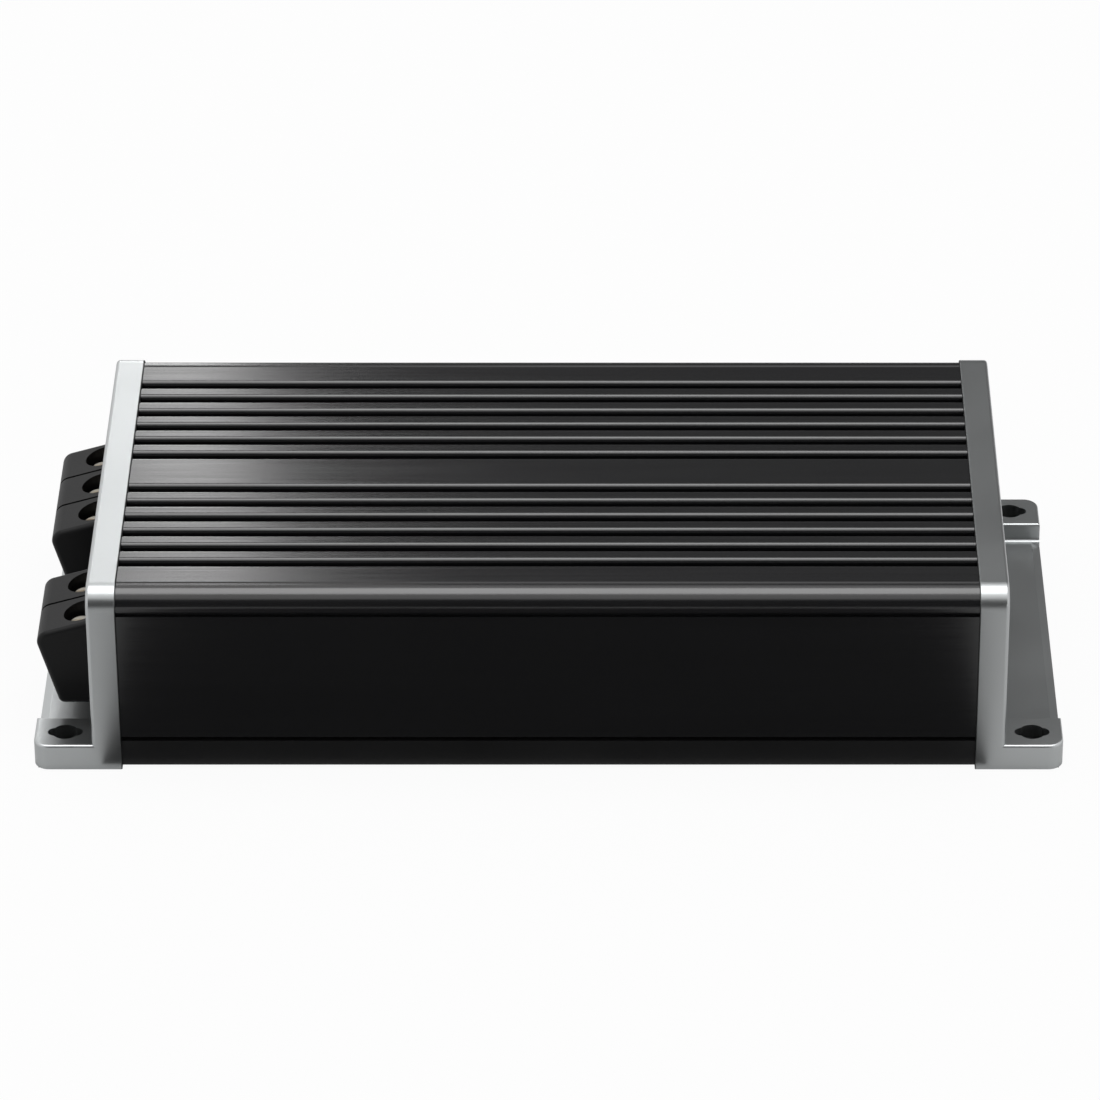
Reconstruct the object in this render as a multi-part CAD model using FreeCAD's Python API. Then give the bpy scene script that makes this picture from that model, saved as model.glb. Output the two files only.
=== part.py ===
"""Car audio amplifier: a finned extruded case between two cast end caps whose feet carry the mounting holes.

Frame: millimetres, +X from the terminal end to the control end, +Y from front to back, +Z up.
The origin is the middle of the plane that the feet stand on.
"""

import FreeCAD, Part
import math
import os

V = FreeCAD.Vector
X_AXIS, Y_AXIS, Z_AXIS = V(1, 0, 0), V(0, 1, 0), V(0, 0, 1)

# ---- overall ----
overall_length = 205.0
overall_depth = 96.5
overall_height = 41.0

# ---- end caps and feet ----
cap_thickness = 5.85
cap_corner_radius = 4.5
cap_edge_radius = 0.7
cap_side_bar = 9.75
cap_top_bar = 4.8
cap_bottom_bar = 6.9
cap_window_radius = 2.5
cap_seam_radius = 0.2
foot_reach = 11.75
foot_plate_thickness = 1.5
foot_corner_radius = 3.0
ear_height = 5.5
ear_depth = 10.7
ear_edge_radius = 0.55
ear_root_radius = 0.8
foot_bevel_width = 1.7
foot_bevel_drop = 0.8
mount_hole_inset_x = 6.1
mount_hole_inset_y = 5.25
mount_hole_radius = 2.6
mount_slot_width = 2.8
mount_slot_length = 7.0

# ---- heatsink shell ----
shell_setback = 0.5
shell_corner_radius = 4.0
shell_wall = 2.8
shell_roof = 2.8
groove_count_per_side = 6
groove_width = 1.9
groove_depth = 4.0
rib_radius = 1.0
centre_band = 11.3
edge_band = 11.35
edge_line_inset = 4.55
edge_line_width = 0.7
edge_line_depth = 0.35
side_groove_drop = 4.2
side_groove_width = 1.0
side_groove_depth = 0.8
rail_width = 8.0

# ---- base tray ----
tray_floor = 2.0
tray_lip_top = 6.4
shadow_gap = 0.9
tray_lip = 1.3
tray_corner_radius = 0.6
tongue_clearance = 0.1

# ---- fasteners ----
screw_radius = 1.4
screw_fit = 0.05
screw_clearance = 0.2
cap_screw_head_radius = 2.6
cap_screw_head_height = 1.8
cap_screw_edge_radius = 0.4
cap_screw_length = 14.0
cap_screw_rail_inset = 5.65
cap_screw_top_inset = 4.75
cap_screw_top_drop = 4.1
cap_screw_low_drop = 3.4
hex_socket_radius = 1.25
hex_socket_depth = 1.0
rail_screw_inset = 9.05
base_screw_length = 7.0
base_screw_head_radius = 2.7
base_screw_head_height = 1.3
base_screw_spread = 0.72
board_screw_head_radius = 2.5
board_screw_head_height = 1.6
board_screw_reach = 4.0
board_screw_spread = 0.86

# ---- end panels ----
panel_thickness = 1.5
panel_lap = 1.5
panel_clearance = 0.2

# ---- main board ----
board_z = 13.0
board_thickness = 1.6
board_end_gap = 0.5
board_side_gap = 0.2
sheet_thickness = 0.5
sheet_margin = 1.0
headroom = 1.1

# ---- wire terminals ----
pole_pitch = 11.0
speaker_poles = 2
power_poles = 3
speaker_edge_margin = 3.2
power_edge_margin = 1.8
terminal_reach = 11.9
terminal_corner_z = 23.1
terminal_tilt = 16.3
terminal_corner_radius = 2.6
terminal_edge_radius = 1.0
terminal_floor_gap = 0.3
terminal_floor = 1.2
terminal_screw_inset = 2.45
pole_wall = 1.7
pole_line_width = 0.6
pole_line_depth = 0.5
well_radius = 3.65
screw_head_radius = 2.5
screw_head_edge_radius = 0.5
screw_head_height = 2.0
screw_head_recess = 1.2
screw_slot_width = 0.9
screw_slot_depth = 1.1
clamp_screw_radius = 2.0
clamp_collar = 1.2
cage_height = 8.9
cage_length = 7.2
cage_wall = 1.2
cage_nut = 1.6
cage_clearance = 0.2
cage_end_clearance = 0.1
contact_thickness = 1.0
contact_side_gap = 0.4
contact_tail = 7.0
terminal_tail_length = 4.4
terminal_tail_height = 11.0
terminal_tail_inset = 0.5
entry_radius = 1.2

# ---- control end ----
connector_proud = 0.8
header_width = 14.2
header_height = 9.4
header_length = 11.0
header_wall = 0.9
header_back = 2.0
header_key_width = 3.0
header_pins_per_row = 4
header_pin_pitch = 3.0
header_pin_size = 0.7
header_pin_length = 4.2
header_pin_bend = 1.0
header_pin_stagger = 0.25
jack_width = 12.6
jack_height = 12.0
jack_length = 15.0
jack_cavity_width = 9.8
jack_cavity_height = 6.8
jack_cavity_depth = 12.0
jack_floor = 1.8
jack_latch_width = 6.2
jack_latch_height = 1.9
jack_contact_count = 4
jack_contact_pitch = 1.3
jack_contact_size = 0.5
jack_contact_fall = 1.9
control_width = 8.4
control_board_thickness = 1.2
control_board_inset = 6.7
control_board_margin = 1.2
low_row_height = 2.6
knob_radius = 4.0
knob_thickness = 3.0
knob_gap = 0.5
knob_edge_radius = 0.5
knob_slot_width = 1.1
knob_slot_depth = 1.0
knob_groove_count = 12
knob_groove_radius = 0.35
shaft_radius = 1.5
shaft_clearance = 0.06
shaft_hole_clearance = 0.35
pot_depth = 5.2
pot_size = 8.2
pot_shaft_depth = 3.6
switch_length = 6.6
switch_height = 4.4
switch_depth = 4.2
slider_size = 2.2
slider_travel = 2.4
slider_clearance = 0.1
slider_depth = 1.4
slider_proud = 2.2
slot_margin = 0.3
button_radius = 2.2
button_clearance = 0.15
button_travel = 0.8
button_proud = 2.0
button_stem_radius = 1.2
button_stem_depth = 1.6
button_edge_radius = 0.4
tact_size = 5.6
tact_depth = 3.6
led_radius = 1.5
led_hole_clearance = 0.1
led_proud = 0.6

# ---- parts on the main board ----
capacitor_radius = 6.25
capacitor_count = 4
capacitor_gap = 2.0
capacitor_x = -0.72
capacitor_edge_radius = 0.6
capacitor_vent_depth = 0.3
capacitor_vent_length = 7.5
capacitor_vent_width = 0.4
transformer_outer = 12.0
transformer_inner = 5.5
transformer_core_height = 9.0
transformer_x = -0.36
winding_build = 1.8
winding_fit = 0.05
winding_gap_deg = 50.0
inductor_outer = 9.0
inductor_inner = 4.2
inductor_core_height = 7.0
inductor_x = 0.12
inductor_y = -14.0
film_capacitor_length = 18.0
film_capacitor_width = 8.0
film_capacitor_height = 12.0
film_capacitor_x = 0.12
film_capacitor_y = 14.0
transistor_count = 4
transistor_gap = 6.0
transistor_x = -0.2
transistor_width = 10.0
transistor_thickness = 4.5
transistor_tab_thickness = 1.3
transistor_tab_share = 0.4
transistor_lead_length = 2.9
transistor_lead_size = 0.7
transistor_lead_pitch = 2.54
pad_thickness = 0.3
pad_margin = 1.0
clamp_bar_thickness = 1.5
clamp_bar_height = 6.0
clamp_screw_bite = 2.0
clamp_screw_head_height = 1.6
clamp_screw_head_radius = 2.4
processor_size = 12.0
processor_height = 1.4
processor_x = 0.52
driver_size = 8.0
driver_height = 1.8
driver_x = 0.34
driver_y = 22.0

# ---- places worked out from the sizes above ----
cap_outer_x = overall_length / 2 - foot_reach
cap_inner_x = cap_outer_x - cap_thickness
half_depth = overall_depth / 2
window_half = half_depth - cap_side_bar
window_top = overall_height - cap_top_bar
window_width = 2 * window_half
shell_half = half_depth - shell_setback
shell_top = overall_height - shell_setback
tray_bottom = shell_setback
tray_top = tray_bottom + tray_floor
shell_bottom = tray_lip_top + shadow_gap
tongue_outer = shell_half - tray_lip - tongue_clearance
wall_inner = shell_half - shell_wall
rail_inner = wall_inner - rail_width
ceiling = shell_top - groove_depth - shell_roof
board_top = board_z + board_thickness
board_half_length = cap_inner_x - board_end_gap
board_half_width = wall_inner - board_side_gap
panel_outer_x = cap_inner_x + panel_thickness
tall_height = ceiling - board_top - headroom
rail_screw_y = shell_half - rail_screw_inset
cap_screw_places = [
    (side * (shell_half - inset), z)
    for side in (-1, 1)
    for inset, z in (
        (cap_screw_top_inset, overall_height - cap_screw_top_drop),
        (cap_screw_rail_inset, board_z - cap_screw_low_drop),
    )
]

terminal_corner_x = -(cap_outer_x + terminal_reach)
terminal_bottom = cap_bottom_bar + terminal_floor_gap
terminal_screw_x = -(cap_outer_x + terminal_screw_inset)
cavity_width = pole_pitch - pole_wall
cavity_floor = terminal_bottom + terminal_floor
cage_width = cavity_width - 2 * cage_clearance
cage_window_width = cage_width - 2 * cage_wall
cage_bottom = cavity_floor + cage_end_clearance
cage_top = cage_bottom + cage_height
speaker_block_start = -window_half + speaker_edge_margin
power_block_start = window_half - power_edge_margin - power_poles * pole_pitch

control_board_x = cap_inner_x - control_board_inset
low_row_z = board_top + low_row_height
high_row_z = (low_row_z + slider_size / 2 + ceiling) / 2


# ---- small helpers ----
def block(x0, x1, y0, y1, z0, z1):
    """A box between two corners."""
    return Part.makeBox(x1 - x0, y1 - y0, z1 - z0, V(x0, y0, z0))


def rod(radius, start, end):
    """A round bar from one point to another."""
    start, end = V(*start), V(*end)
    along = end - start
    return Part.makeCylinder(radius, along.Length, start, along)


def cone(radius_start, radius_end, start, end):
    """A tapered bar from one point to another."""
    start, end = V(*start), V(*end)
    along = end - start
    return Part.makeCone(radius_start, radius_end, along.Length, start, along)


def outline(points, place):
    """A closed face through points (u, v, radius), each corner rounded by its radius.

    place turns (u, v) into a point in space.
    """
    count = len(points)
    stretches = []
    for index, (u, v, radius) in enumerate(points):
        here = V(u, v, 0)
        before = V(*points[index - 1][:2], 0) - here
        after = V(*points[(index + 1) % count][:2], 0) - here
        if radius <= 0:
            stretches.append((here, here, here))
            continue
        half = before.getAngle(after) / 2
        reach = radius / math.tan(half)
        middle = (before.normalize() + after.normalize()).normalize()
        inward = radius / math.sin(half) - radius
        stretches.append((here + before * reach, here + middle * inward, here + after * reach))
    edges = []
    for index, (enter, middle, leave) in enumerate(stretches):
        spots = [place(p.x, p.y) for p in (enter, middle, leave)]
        if (enter - leave).Length > 1e-9:
            edges.append(Part.Arc(*spots).toShape())
        following = place(*stretches[(index + 1) % count][0][:2])
        if (spots[2] - following).Length > 1e-7:
            edges.append(Part.LineSegment(spots[2], following).toShape())
    return Part.Face(Part.Wire(edges))


def along_x(points, x0, x1):
    """A bar along X whose section is an outline of (y, z, radius) points."""
    return outline(points, lambda y, z: V(x0, y, z)).extrude(V(x1 - x0, 0, 0))


def along_y(points, y0, y1):
    """A bar along Y whose section is an outline of (x, z, radius) points."""
    return outline(points, lambda x, z: V(x, y0, z)).extrude(V(0, y1 - y0, 0))


def along_z(points, z0, z1):
    """A bar along Z whose section is an outline of (x, y, radius) points."""
    return outline(points, lambda x, y: V(x, y, z0)).extrude(V(0, 0, z1 - z0))


def rectangle(u0, u1, v0, v1, radius=0.0):
    """The four corners of a rectangle, all with the same radius."""
    return [(u0, v0, radius), (u1, v0, radius), (u1, v1, radius), (u0, v1, radius)]


def round_edges(shape, radius, wanted):
    """Rounds the edges for which wanted(edge) holds."""
    edges = [e for e in shape.Edges if wanted(e)]
    return shape.makeFillet(radius, edges) if edges else shape


def lies_at(edge, axis, value):
    """True if the whole edge lies in the plane where that axis has that value."""
    low, high = getattr(edge.BoundBox, axis + "Min"), getattr(edge.BoundBox, axis + "Max")
    return abs(low - value) < 1e-4 and abs(high - value) < 1e-4


def mirrored(shape):
    """The same piece on the other side of the YZ plane."""
    return shape.mirror(V(0, 0, 0), X_AXIS)


def hexagon(radius, x0, x1, y, z):
    """A six-sided bar along X."""
    corners = [(y + radius * math.cos(a), z + radius * math.sin(a), 0) for a in
               (math.radians(60 * k) for k in range(6))]
    return along_x(corners, x0, x1)


def columns():
    """Centres along Y of the header, the jack and the three control columns, evenly spread."""
    widths = [header_width, jack_width] + [control_width] * 3
    gap = (window_width - sum(widths)) / (len(widths) + 1)
    centres, edge = [], -window_half
    for width in widths:
        centres.append(edge + gap + width / 2)
        edge += gap + width
    return centres


header_y, jack_y, first_y, second_y, third_y = columns()


def pole_centres(start, count):
    """Centres along Y of a terminal block's poles."""
    return [start + pole_pitch * (k + 0.5) for k in range(count)]


speaker_centres = pole_centres(speaker_block_start, speaker_poles)
power_centres = pole_centres(power_block_start, power_poles)


# ---- case ----
def groove_centres():
    """Distances from the middle of the case to its grooves on one side."""
    first = centre_band / 2 + groove_width / 2
    last = shell_half - edge_band - groove_width / 2
    step = (last - first) / (groove_count_per_side - 1)
    return [first + step * k for k in range(groove_count_per_side)]


def top_outline():
    """The finned top from the middle to the back corner, as (y, z, radius) points."""
    points = []
    for centre in groove_centres():
        near, far = centre - groove_width / 2, centre + groove_width / 2
        floor = shell_top - groove_depth
        points += [(near, shell_top, rib_radius), (near, floor, 0)]
        points += [(far, floor, 0), (far, shell_top, rib_radius)]
    line = shell_half - edge_line_inset
    points += [(line - edge_line_width / 2, shell_top, 0), (line, shell_top - edge_line_depth, 0)]
    points += [(line + edge_line_width / 2, shell_top, 0)]
    return points


def side_outline():
    """The back wall from its top corner down and round the rail to the ceiling, as (y, z, radius) points."""
    groove_top = shell_top - side_groove_drop
    groove_low = groove_top - side_groove_width
    groove_y = shell_half - side_groove_depth
    return [
        (shell_half, shell_top, shell_corner_radius),
        (shell_half, groove_top, 0), (groove_y, groove_top, 0),
        (groove_y, groove_low, 0), (shell_half, groove_low, 0),
        (shell_half, shell_bottom, 0), (tongue_outer, shell_bottom, 0),
        (tongue_outer, tray_top, 0), (rail_inner, tray_top, 0),
        (rail_inner, board_z, 0), (wall_inner, board_z, 0),
        (wall_inner, ceiling, 1.0),
    ]


def rail_screw_places(spread):
    """The four places of a set of upright screws on the rails."""
    reach = board_half_length * spread
    return [(x, y) for x in (-reach, reach) for y in (-rail_screw_y, rail_screw_y)]


def clamp_screw_places():
    """Places along X of the screws of one clamp bar: between its transistors."""
    centres = transistor_centres()
    return [(a + b) / 2 for a, b in zip(centres, centres[1:])][::2]


def heatsink_shell():
    """The extruded aluminium case top with its ribs, walls, board rails and screw channels."""
    half = top_outline() + side_outline()
    other = [(-y, z, r) for y, z, r in reversed(half)]
    shell = along_x(half + other, -cap_inner_x, cap_inner_x)
    channel = screw_radius + screw_fit
    for y, z in cap_screw_places:
        shell = shell.cut(rod(channel, (-cap_inner_x - 1, y, z), (cap_inner_x + 1, y, z)))
    for x, y in rail_screw_places(base_screw_spread):
        hole_end = tray_bottom + base_screw_length + screw_fit
        shell = shell.cut(rod(channel, (x, y, tray_top - 1), (x, y, hole_end)))
    for x, y in rail_screw_places(board_screw_spread):
        shell = shell.cut(rod(channel, (x, y, board_z - board_screw_reach - screw_fit), (x, y, board_z + 1)))
    near, far = wall_inner - 1, wall_inner + clamp_screw_bite + screw_fit
    for x in clamp_screw_places():
        for side in (-1, 1):
            shell = shell.cut(rod(channel, (x, side * near, clamp_z()), (x, side * far, clamp_z())))
    return shell


def base_tray():
    """The shallow tray that closes the case from below."""
    inner = shell_half - tray_lip
    points = [
        (shell_half, tray_bottom, tray_corner_radius), (shell_half, tray_lip_top, 0),
        (inner, tray_lip_top, 0), (inner, tray_top, 0),
        (-inner, tray_top, 0), (-inner, tray_lip_top, 0),
        (-shell_half, tray_lip_top, 0), (-shell_half, tray_bottom, tray_corner_radius),
    ]
    tray = along_x(points, -cap_inner_x, cap_inner_x)
    for x, y in rail_screw_places(base_screw_spread):
        tray = tray.cut(rod(screw_radius + screw_clearance, (x, y, tray_bottom - 1), (x, y, tray_top + 1)))
        tray = tray.cut(countersink(x, y, screw_fit))
    return tray


def countersink(x, y, grow):
    """The cone of a base screw's head, grown by a fit where it is cut."""
    return cone(base_screw_head_radius + grow, screw_radius + grow, (x, y, tray_bottom),
                (x, y, tray_bottom + base_screw_head_height))


def base_screws():
    """Countersunk screws that hold the tray to the rails."""
    screws = []
    for x, y in rail_screw_places(base_screw_spread):
        shank = rod(screw_radius, (x, y, tray_bottom), (x, y, tray_bottom + base_screw_length))
        screw = shank.fuse(countersink(x, y, 0)).removeSplitter()
        socket = along_z([(x + hex_socket_radius * math.cos(math.radians(60 * k)),
                           y + hex_socket_radius * math.sin(math.radians(60 * k)), 0) for k in range(6)],
                         tray_bottom, tray_bottom + hex_socket_depth)
        screws.append(screw.cut(socket))
    return Part.makeCompound(screws)


# ---- end caps ----
def foot():
    """The foot of the right cap: a thin plate with a raised ear at each end."""
    inside = cap_outer_x - cap_edge_radius - 1
    outside = overall_length / 2
    root = half_depth - ear_depth
    side = [
        (-half_depth, 0, 0), (half_depth, 0, 0),
        (half_depth, ear_height, 0), (root, ear_height, 0),
        (root, foot_plate_thickness, ear_root_radius), (-root, foot_plate_thickness, ear_root_radius),
        (-root, ear_height, 0), (-half_depth, ear_height, 0),
    ]
    plan = [
        (inside, -half_depth, 0), (outside, -half_depth, foot_corner_radius),
        (outside, half_depth, foot_corner_radius), (inside, half_depth, 0),
    ]
    feet = along_x(side, inside, outside).common(along_z(plan, 0, ear_height))
    bevel = [
        (outside - foot_bevel_width, foot_plate_thickness, 0),
        (outside, foot_plate_thickness - foot_bevel_drop, 0), (outside, foot_plate_thickness, 0),
    ]
    feet = feet.cut(along_y(bevel, -root + ear_root_radius, root - ear_root_radius))

    def on_ear_top(edge):
        return lies_at(edge, "Z", ear_height) and not lies_at(edge, "X", inside)
    return round_edges(feet, ear_edge_radius, on_ear_top)


def mount_hole(y):
    """The round hole with a slot through it, for one corner of the right foot."""
    x = overall_length / 2 - mount_hole_inset_x
    width, length = mount_slot_width / 2, mount_slot_length / 2
    slot = along_z(rectangle(x - length, x + length, y - width, y + width, width), -1, ear_height + 1)
    return rod(mount_hole_radius, (x, y, -1), (x, y, ear_height + 1)).fuse(slot)


def end_cap():
    """The right cap: a rounded frame round the end of the case, with its foot."""
    frame = [(-half_depth, 0, 0), (half_depth, 0, 0), (half_depth, overall_height, cap_corner_radius),
             (-half_depth, overall_height, cap_corner_radius)]
    cap = along_x(frame, cap_inner_x, cap_outer_x)
    cap = round_edges(cap, cap_edge_radius, lambda e: lies_at(e, "X", cap_outer_x) and not lies_at(e, "Z", 0))
    cap = round_edges(cap, cap_seam_radius, lambda e: lies_at(e, "X", cap_inner_x) and not lies_at(e, "Z", 0))
    cap = cap.fuse(foot()).removeSplitter()
    window = rectangle(-window_half, window_half, cap_bottom_bar, window_top, cap_window_radius)
    cap = cap.cut(along_x(window, cap_inner_x - 1, cap_outer_x + 1))
    pocket = panel_rectangle(0)
    cap = cap.cut(along_x(pocket, cap_inner_x - 1, panel_outer_x))
    for y, z in cap_screw_places:
        cap = cap.cut(rod(screw_radius + screw_clearance, (cap_inner_x - 1, y, z), (cap_outer_x + 1, y, z)))
        seat = cap_outer_x - cap_screw_head_height - screw_clearance
        cap = cap.cut(rod(cap_screw_head_radius + screw_clearance, (seat, y, z), (cap_outer_x + 1, y, z)))
    for side in (-1, 1):
        cap = cap.cut(mount_hole(side * (half_depth - mount_hole_inset_y)))
    return cap


def cap_screws():
    """The four socket screws of the right cap."""
    screws = []
    seat = cap_outer_x - cap_screw_head_height - screw_clearance
    front = seat + cap_screw_head_height
    for y, z in cap_screw_places:
        head = rod(cap_screw_head_radius, (seat, y, z), (front, y, z))
        head = round_edges(head, cap_screw_edge_radius, lambda e: lies_at(e, "X", front))
        shank = rod(screw_radius, (seat - cap_screw_length, y, z), (seat, y, z))
        socket = hexagon(hex_socket_radius, front - hex_socket_depth, cap_outer_x + 1, y, z)
        screws.append(head.fuse(shank).removeSplitter().cut(socket))
    return Part.makeCompound(screws)


def panel_rectangle(inset):
    """Corners (y, z, radius) of an end panel, or of its pocket with no inset."""
    reach = window_half + panel_lap - inset
    return rectangle(-reach, reach, cap_bottom_bar - panel_lap + inset, window_top + panel_lap - inset, 1.0)


# ---- wire terminals ----
def terminal_surface(x):
    """Height of a terminal block's sloping top at x."""
    return terminal_corner_z + (x - terminal_corner_x) * math.tan(math.radians(terminal_tilt))


def screw_seat():
    """Height of the shoulder that a clamp screw's head turns on."""
    return terminal_surface(terminal_screw_x - well_radius) - screw_head_recess - screw_head_height


def terminal_section(x_end):
    """A terminal block's side view from its nose to x_end, as (x, z, radius) points."""
    drop = terminal_corner_z - terminal_bottom
    toe_x = terminal_corner_x + drop * math.tan(math.radians(terminal_tilt))
    return [(terminal_corner_x, terminal_corner_z, terminal_corner_radius),
            (toe_x, terminal_bottom, terminal_corner_radius / 2),
            (x_end, terminal_bottom, 0), (x_end, terminal_surface(x_end), 0)]


def terminal_housing(start, centres):
    """Moulded poles side by side, each with one screw well, one cage chamber and one wire entry."""
    end = start + pole_pitch * len(centres)
    housing = along_y(terminal_section(-cap_inner_x), start, end)
    housing = round_edges(
        housing, terminal_edge_radius,
        lambda e: (lies_at(e, "Y", start) or lies_at(e, "Y", end)) and not lies_at(e, "X", -cap_inner_x),
    )
    tail = block(-cap_inner_x, -cap_inner_x + terminal_tail_length, start + terminal_tail_inset,
                 end - terminal_tail_inset, board_top, board_top + terminal_tail_height)
    housing = housing.fuse(tail).removeSplitter()
    for y in centres[:-1]:
        housing = housing.cut(pole_line(y + pole_pitch / 2))
    poles = []
    for k, y in enumerate(centres):
        left = start + pole_pitch * k
        pole = housing.common(block(-overall_length, 0, left, left + pole_pitch, 0, overall_height))
        poles.append(pole.cut(pole_chamber(y)))
    return Part.makeCompound(poles)


def pole_line(y):
    """The narrow groove moulded between two poles, over the top and down the nose."""
    outer = terminal_section(-cap_outer_x)
    cut = along_y(outer, y - pole_line_width / 2, y + pole_line_width / 2)
    slope = math.radians(terminal_tilt)
    shift = V(pole_line_depth / math.cos(slope), 0, -pole_line_depth / math.cos(slope))
    core = along_y(outer, y - pole_line_width, y + pole_line_width).translated(shift)
    below = block(-2 * cap_outer_x, 0, y - pole_line_width, y + pole_line_width, 0, terminal_bottom + 2)
    return cut.cut(core).cut(below)


def pole_chamber(y):
    """What is hollow in one pole: the screw's well and bore, the cage's chamber and the wire's way in."""
    x, seat = terminal_screw_x, screw_seat()
    half_length = cage_length / 2 + cage_clearance
    chamber = block(x - half_length, x + half_length, y - cavity_width / 2, y + cavity_width / 2,
                    cavity_floor, seat - clamp_collar)
    well = rod(well_radius, (x, y, seat), (x, y, overall_height))
    bore = rod(clamp_screw_radius + screw_clearance, (x, y, seat - clamp_collar - 1), (x, y, seat + 1))
    entry = along_x(rectangle(y - cage_window_width / 2, y + cage_window_width / 2, cage_bottom + cage_wall,
                              board_top + contact_thickness, entry_radius), terminal_corner_x - 1, x)
    width = cage_window_width / 2 - contact_side_gap
    slot = block(x, 0, y - width, y + width, board_top, board_top + contact_thickness)
    return chamber.fuse(well).fuse(bore).fuse(entry).fuse(slot)


def clamp_screw(y):
    """A captive slotted screw that draws its cage up."""
    x, seat = terminal_screw_x, screw_seat()
    top = seat + screw_head_height
    head = rod(screw_head_radius, (x, y, seat), (x, y, top))
    head = round_edges(head, screw_head_edge_radius, lambda e: lies_at(e, "Z", top))
    slot = block(x - well_radius, x + well_radius, y - screw_slot_width / 2, y + screw_slot_width / 2,
                 top - screw_slot_depth, top + 1)
    shank_end = board_top + contact_thickness + cage_end_clearance
    shank = rod(clamp_screw_radius, (x, y, shank_end), (x, y, seat))
    return head.fuse(shank).removeSplitter().cut(slot)


def clamp_cage(y):
    """The rising cage of one pole: a nut above, a bar below and a window for the wire between."""
    x = terminal_screw_x
    cage = block(x - cage_length / 2, x + cage_length / 2, y - cage_width / 2, y + cage_width / 2,
                 cage_bottom, cage_top)
    window = block(x - cage_length, x + cage_length, y - cage_window_width / 2, y + cage_window_width / 2,
                   cage_bottom + cage_wall, cage_top - cage_nut)
    nut = rod(clamp_screw_radius + screw_fit, (x, y, cage_top - cage_nut - 1), (x, y, cage_top + 1))
    return cage.cut(window).cut(nut)


def contact_bars(centres):
    """Flat copper bars that run from the cages over the board's edge."""
    bars = []
    width = cage_window_width / 2 - contact_side_gap
    start, end = terminal_screw_x - cage_length / 2, -cap_inner_x + contact_tail
    for y in centres:
        bars.append(block(start, end, y - width, y + width, board_top, board_top + contact_thickness))
    return Part.makeCompound(bars)


def terminal_panel():
    """The plate behind the left cap's window, cut out for both terminal blocks."""
    panel = along_x(panel_rectangle(0), -panel_outer_x, -cap_inner_x)
    top = terminal_surface(-cap_inner_x) + panel_clearance
    for start, count in ((speaker_block_start, speaker_poles), (power_block_start, power_poles)):
        end = start + count * pole_pitch
        panel = panel.cut(block(-panel_outer_x - 1, -cap_inner_x + 1, start - panel_clearance,
                                end + panel_clearance, terminal_bottom - panel_clearance, top))
    return panel


# ---- control end ----
connector_front = panel_outer_x + connector_proud


def control_panel():
    """The plate behind the right cap's window, pierced for the sockets and controls."""
    panel = along_x(panel_rectangle(0), cap_inner_x, panel_outer_x)
    low, high = cap_inner_x - 1, panel_outer_x + 1
    for y, width, height in ((header_y, header_width, header_height), (jack_y, jack_width, jack_height)):
        reach = width / 2 + panel_clearance
        panel = panel.cut(block(low, high, y - reach, y + reach, board_top - panel_clearance,
                                board_top + height + panel_clearance))
    shaft_hole = shaft_radius + shaft_hole_clearance
    for y in (first_y, second_y, third_y):
        panel = panel.cut(rod(shaft_hole, (low, y, high_row_z), (high, y, high_row_z)))
    for y in (first_y, second_y):
        reach = (slider_size + slider_travel) / 2 + slot_margin
        tall = slider_size / 2 + slot_margin
        slot = rectangle(y - reach, y + reach, low_row_z - tall, low_row_z + tall, 0.6)
        panel = panel.cut(along_x(slot, low, high))
    button_hole = button_radius + button_clearance
    panel = panel.cut(rod(button_hole, (low, third_y, low_row_z), (high, third_y, low_row_z)))
    for y in led_centres():
        panel = panel.cut(rod(led_radius + led_hole_clearance, (low, y, low_row_z), (high, y, low_row_z)))
    return panel


def led_centres():
    """The two status lamps stand between the three control columns."""
    return [(first_y + second_y) / 2, (second_y + third_y) / 2]


def input_header():
    """The shrouded socket for the input harness."""
    back = connector_front - header_length
    top = board_top + header_height
    half = header_width / 2
    body = block(back, connector_front, header_y - half, header_y + half, board_top, top)
    half -= header_wall
    cavity = block(back + header_back, connector_front + 1, header_y - half, header_y + half,
                   board_top + header_wall, top - header_wall)
    key = block(connector_front - header_length / 2, connector_front + 1, header_y - header_key_width / 2,
                header_y + header_key_width / 2, top - header_wall * 1.5, top + 1)
    body = body.cut(cavity).cut(key)
    for y, z in header_pin_places():
        reach = header_pin_size / 2
        body = body.cut(block(back - 1, back + header_back + 1, y - reach, y + reach, z - reach, z + reach))
    return body


def header_pin_places():
    """Where the header's pins cross its back wall."""
    middle = board_top + header_height / 2
    first = header_y - header_pin_pitch * (header_pins_per_row - 1) / 2
    return [(first + header_pin_pitch * k, middle + side * header_pin_pitch / 2)
            for side in (-1, 1) for k in range(header_pins_per_row)]


def header_pins():
    """Square pins that pass the header's back wall and turn down into the board."""
    back = connector_front - header_length
    reach = header_pin_size / 2
    pins = []
    for y, z in header_pin_places():
        leg_x = back - header_pin_bend - (z - board_top) * header_pin_stagger
        tip = back + header_back + header_pin_length
        level = block(leg_x - reach, tip, y - reach, y + reach, z - reach, z + reach)
        leg = block(leg_x - reach, leg_x + reach, y - reach, y + reach, board_top, z)
        pins.append(level.fuse(leg).removeSplitter())
    return Part.makeCompound(pins)


def remote_jack():
    """The modular socket for the remote level control."""
    back = connector_front - jack_length
    body = block(back, connector_front, jack_y - jack_width / 2, jack_y + jack_width / 2,
                 board_top, board_top + jack_height)
    depth = connector_front - jack_cavity_depth
    low = jack_cavity_low()
    cavity = block(depth, connector_front + 1, jack_y - jack_cavity_width / 2, jack_y + jack_cavity_width / 2,
                   low, low + jack_cavity_height)
    latch = block(depth, connector_front + 1, jack_y - jack_latch_width / 2, jack_y + jack_latch_width / 2,
                  low - jack_latch_height, low + 1)
    return body.cut(cavity).cut(latch)


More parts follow.
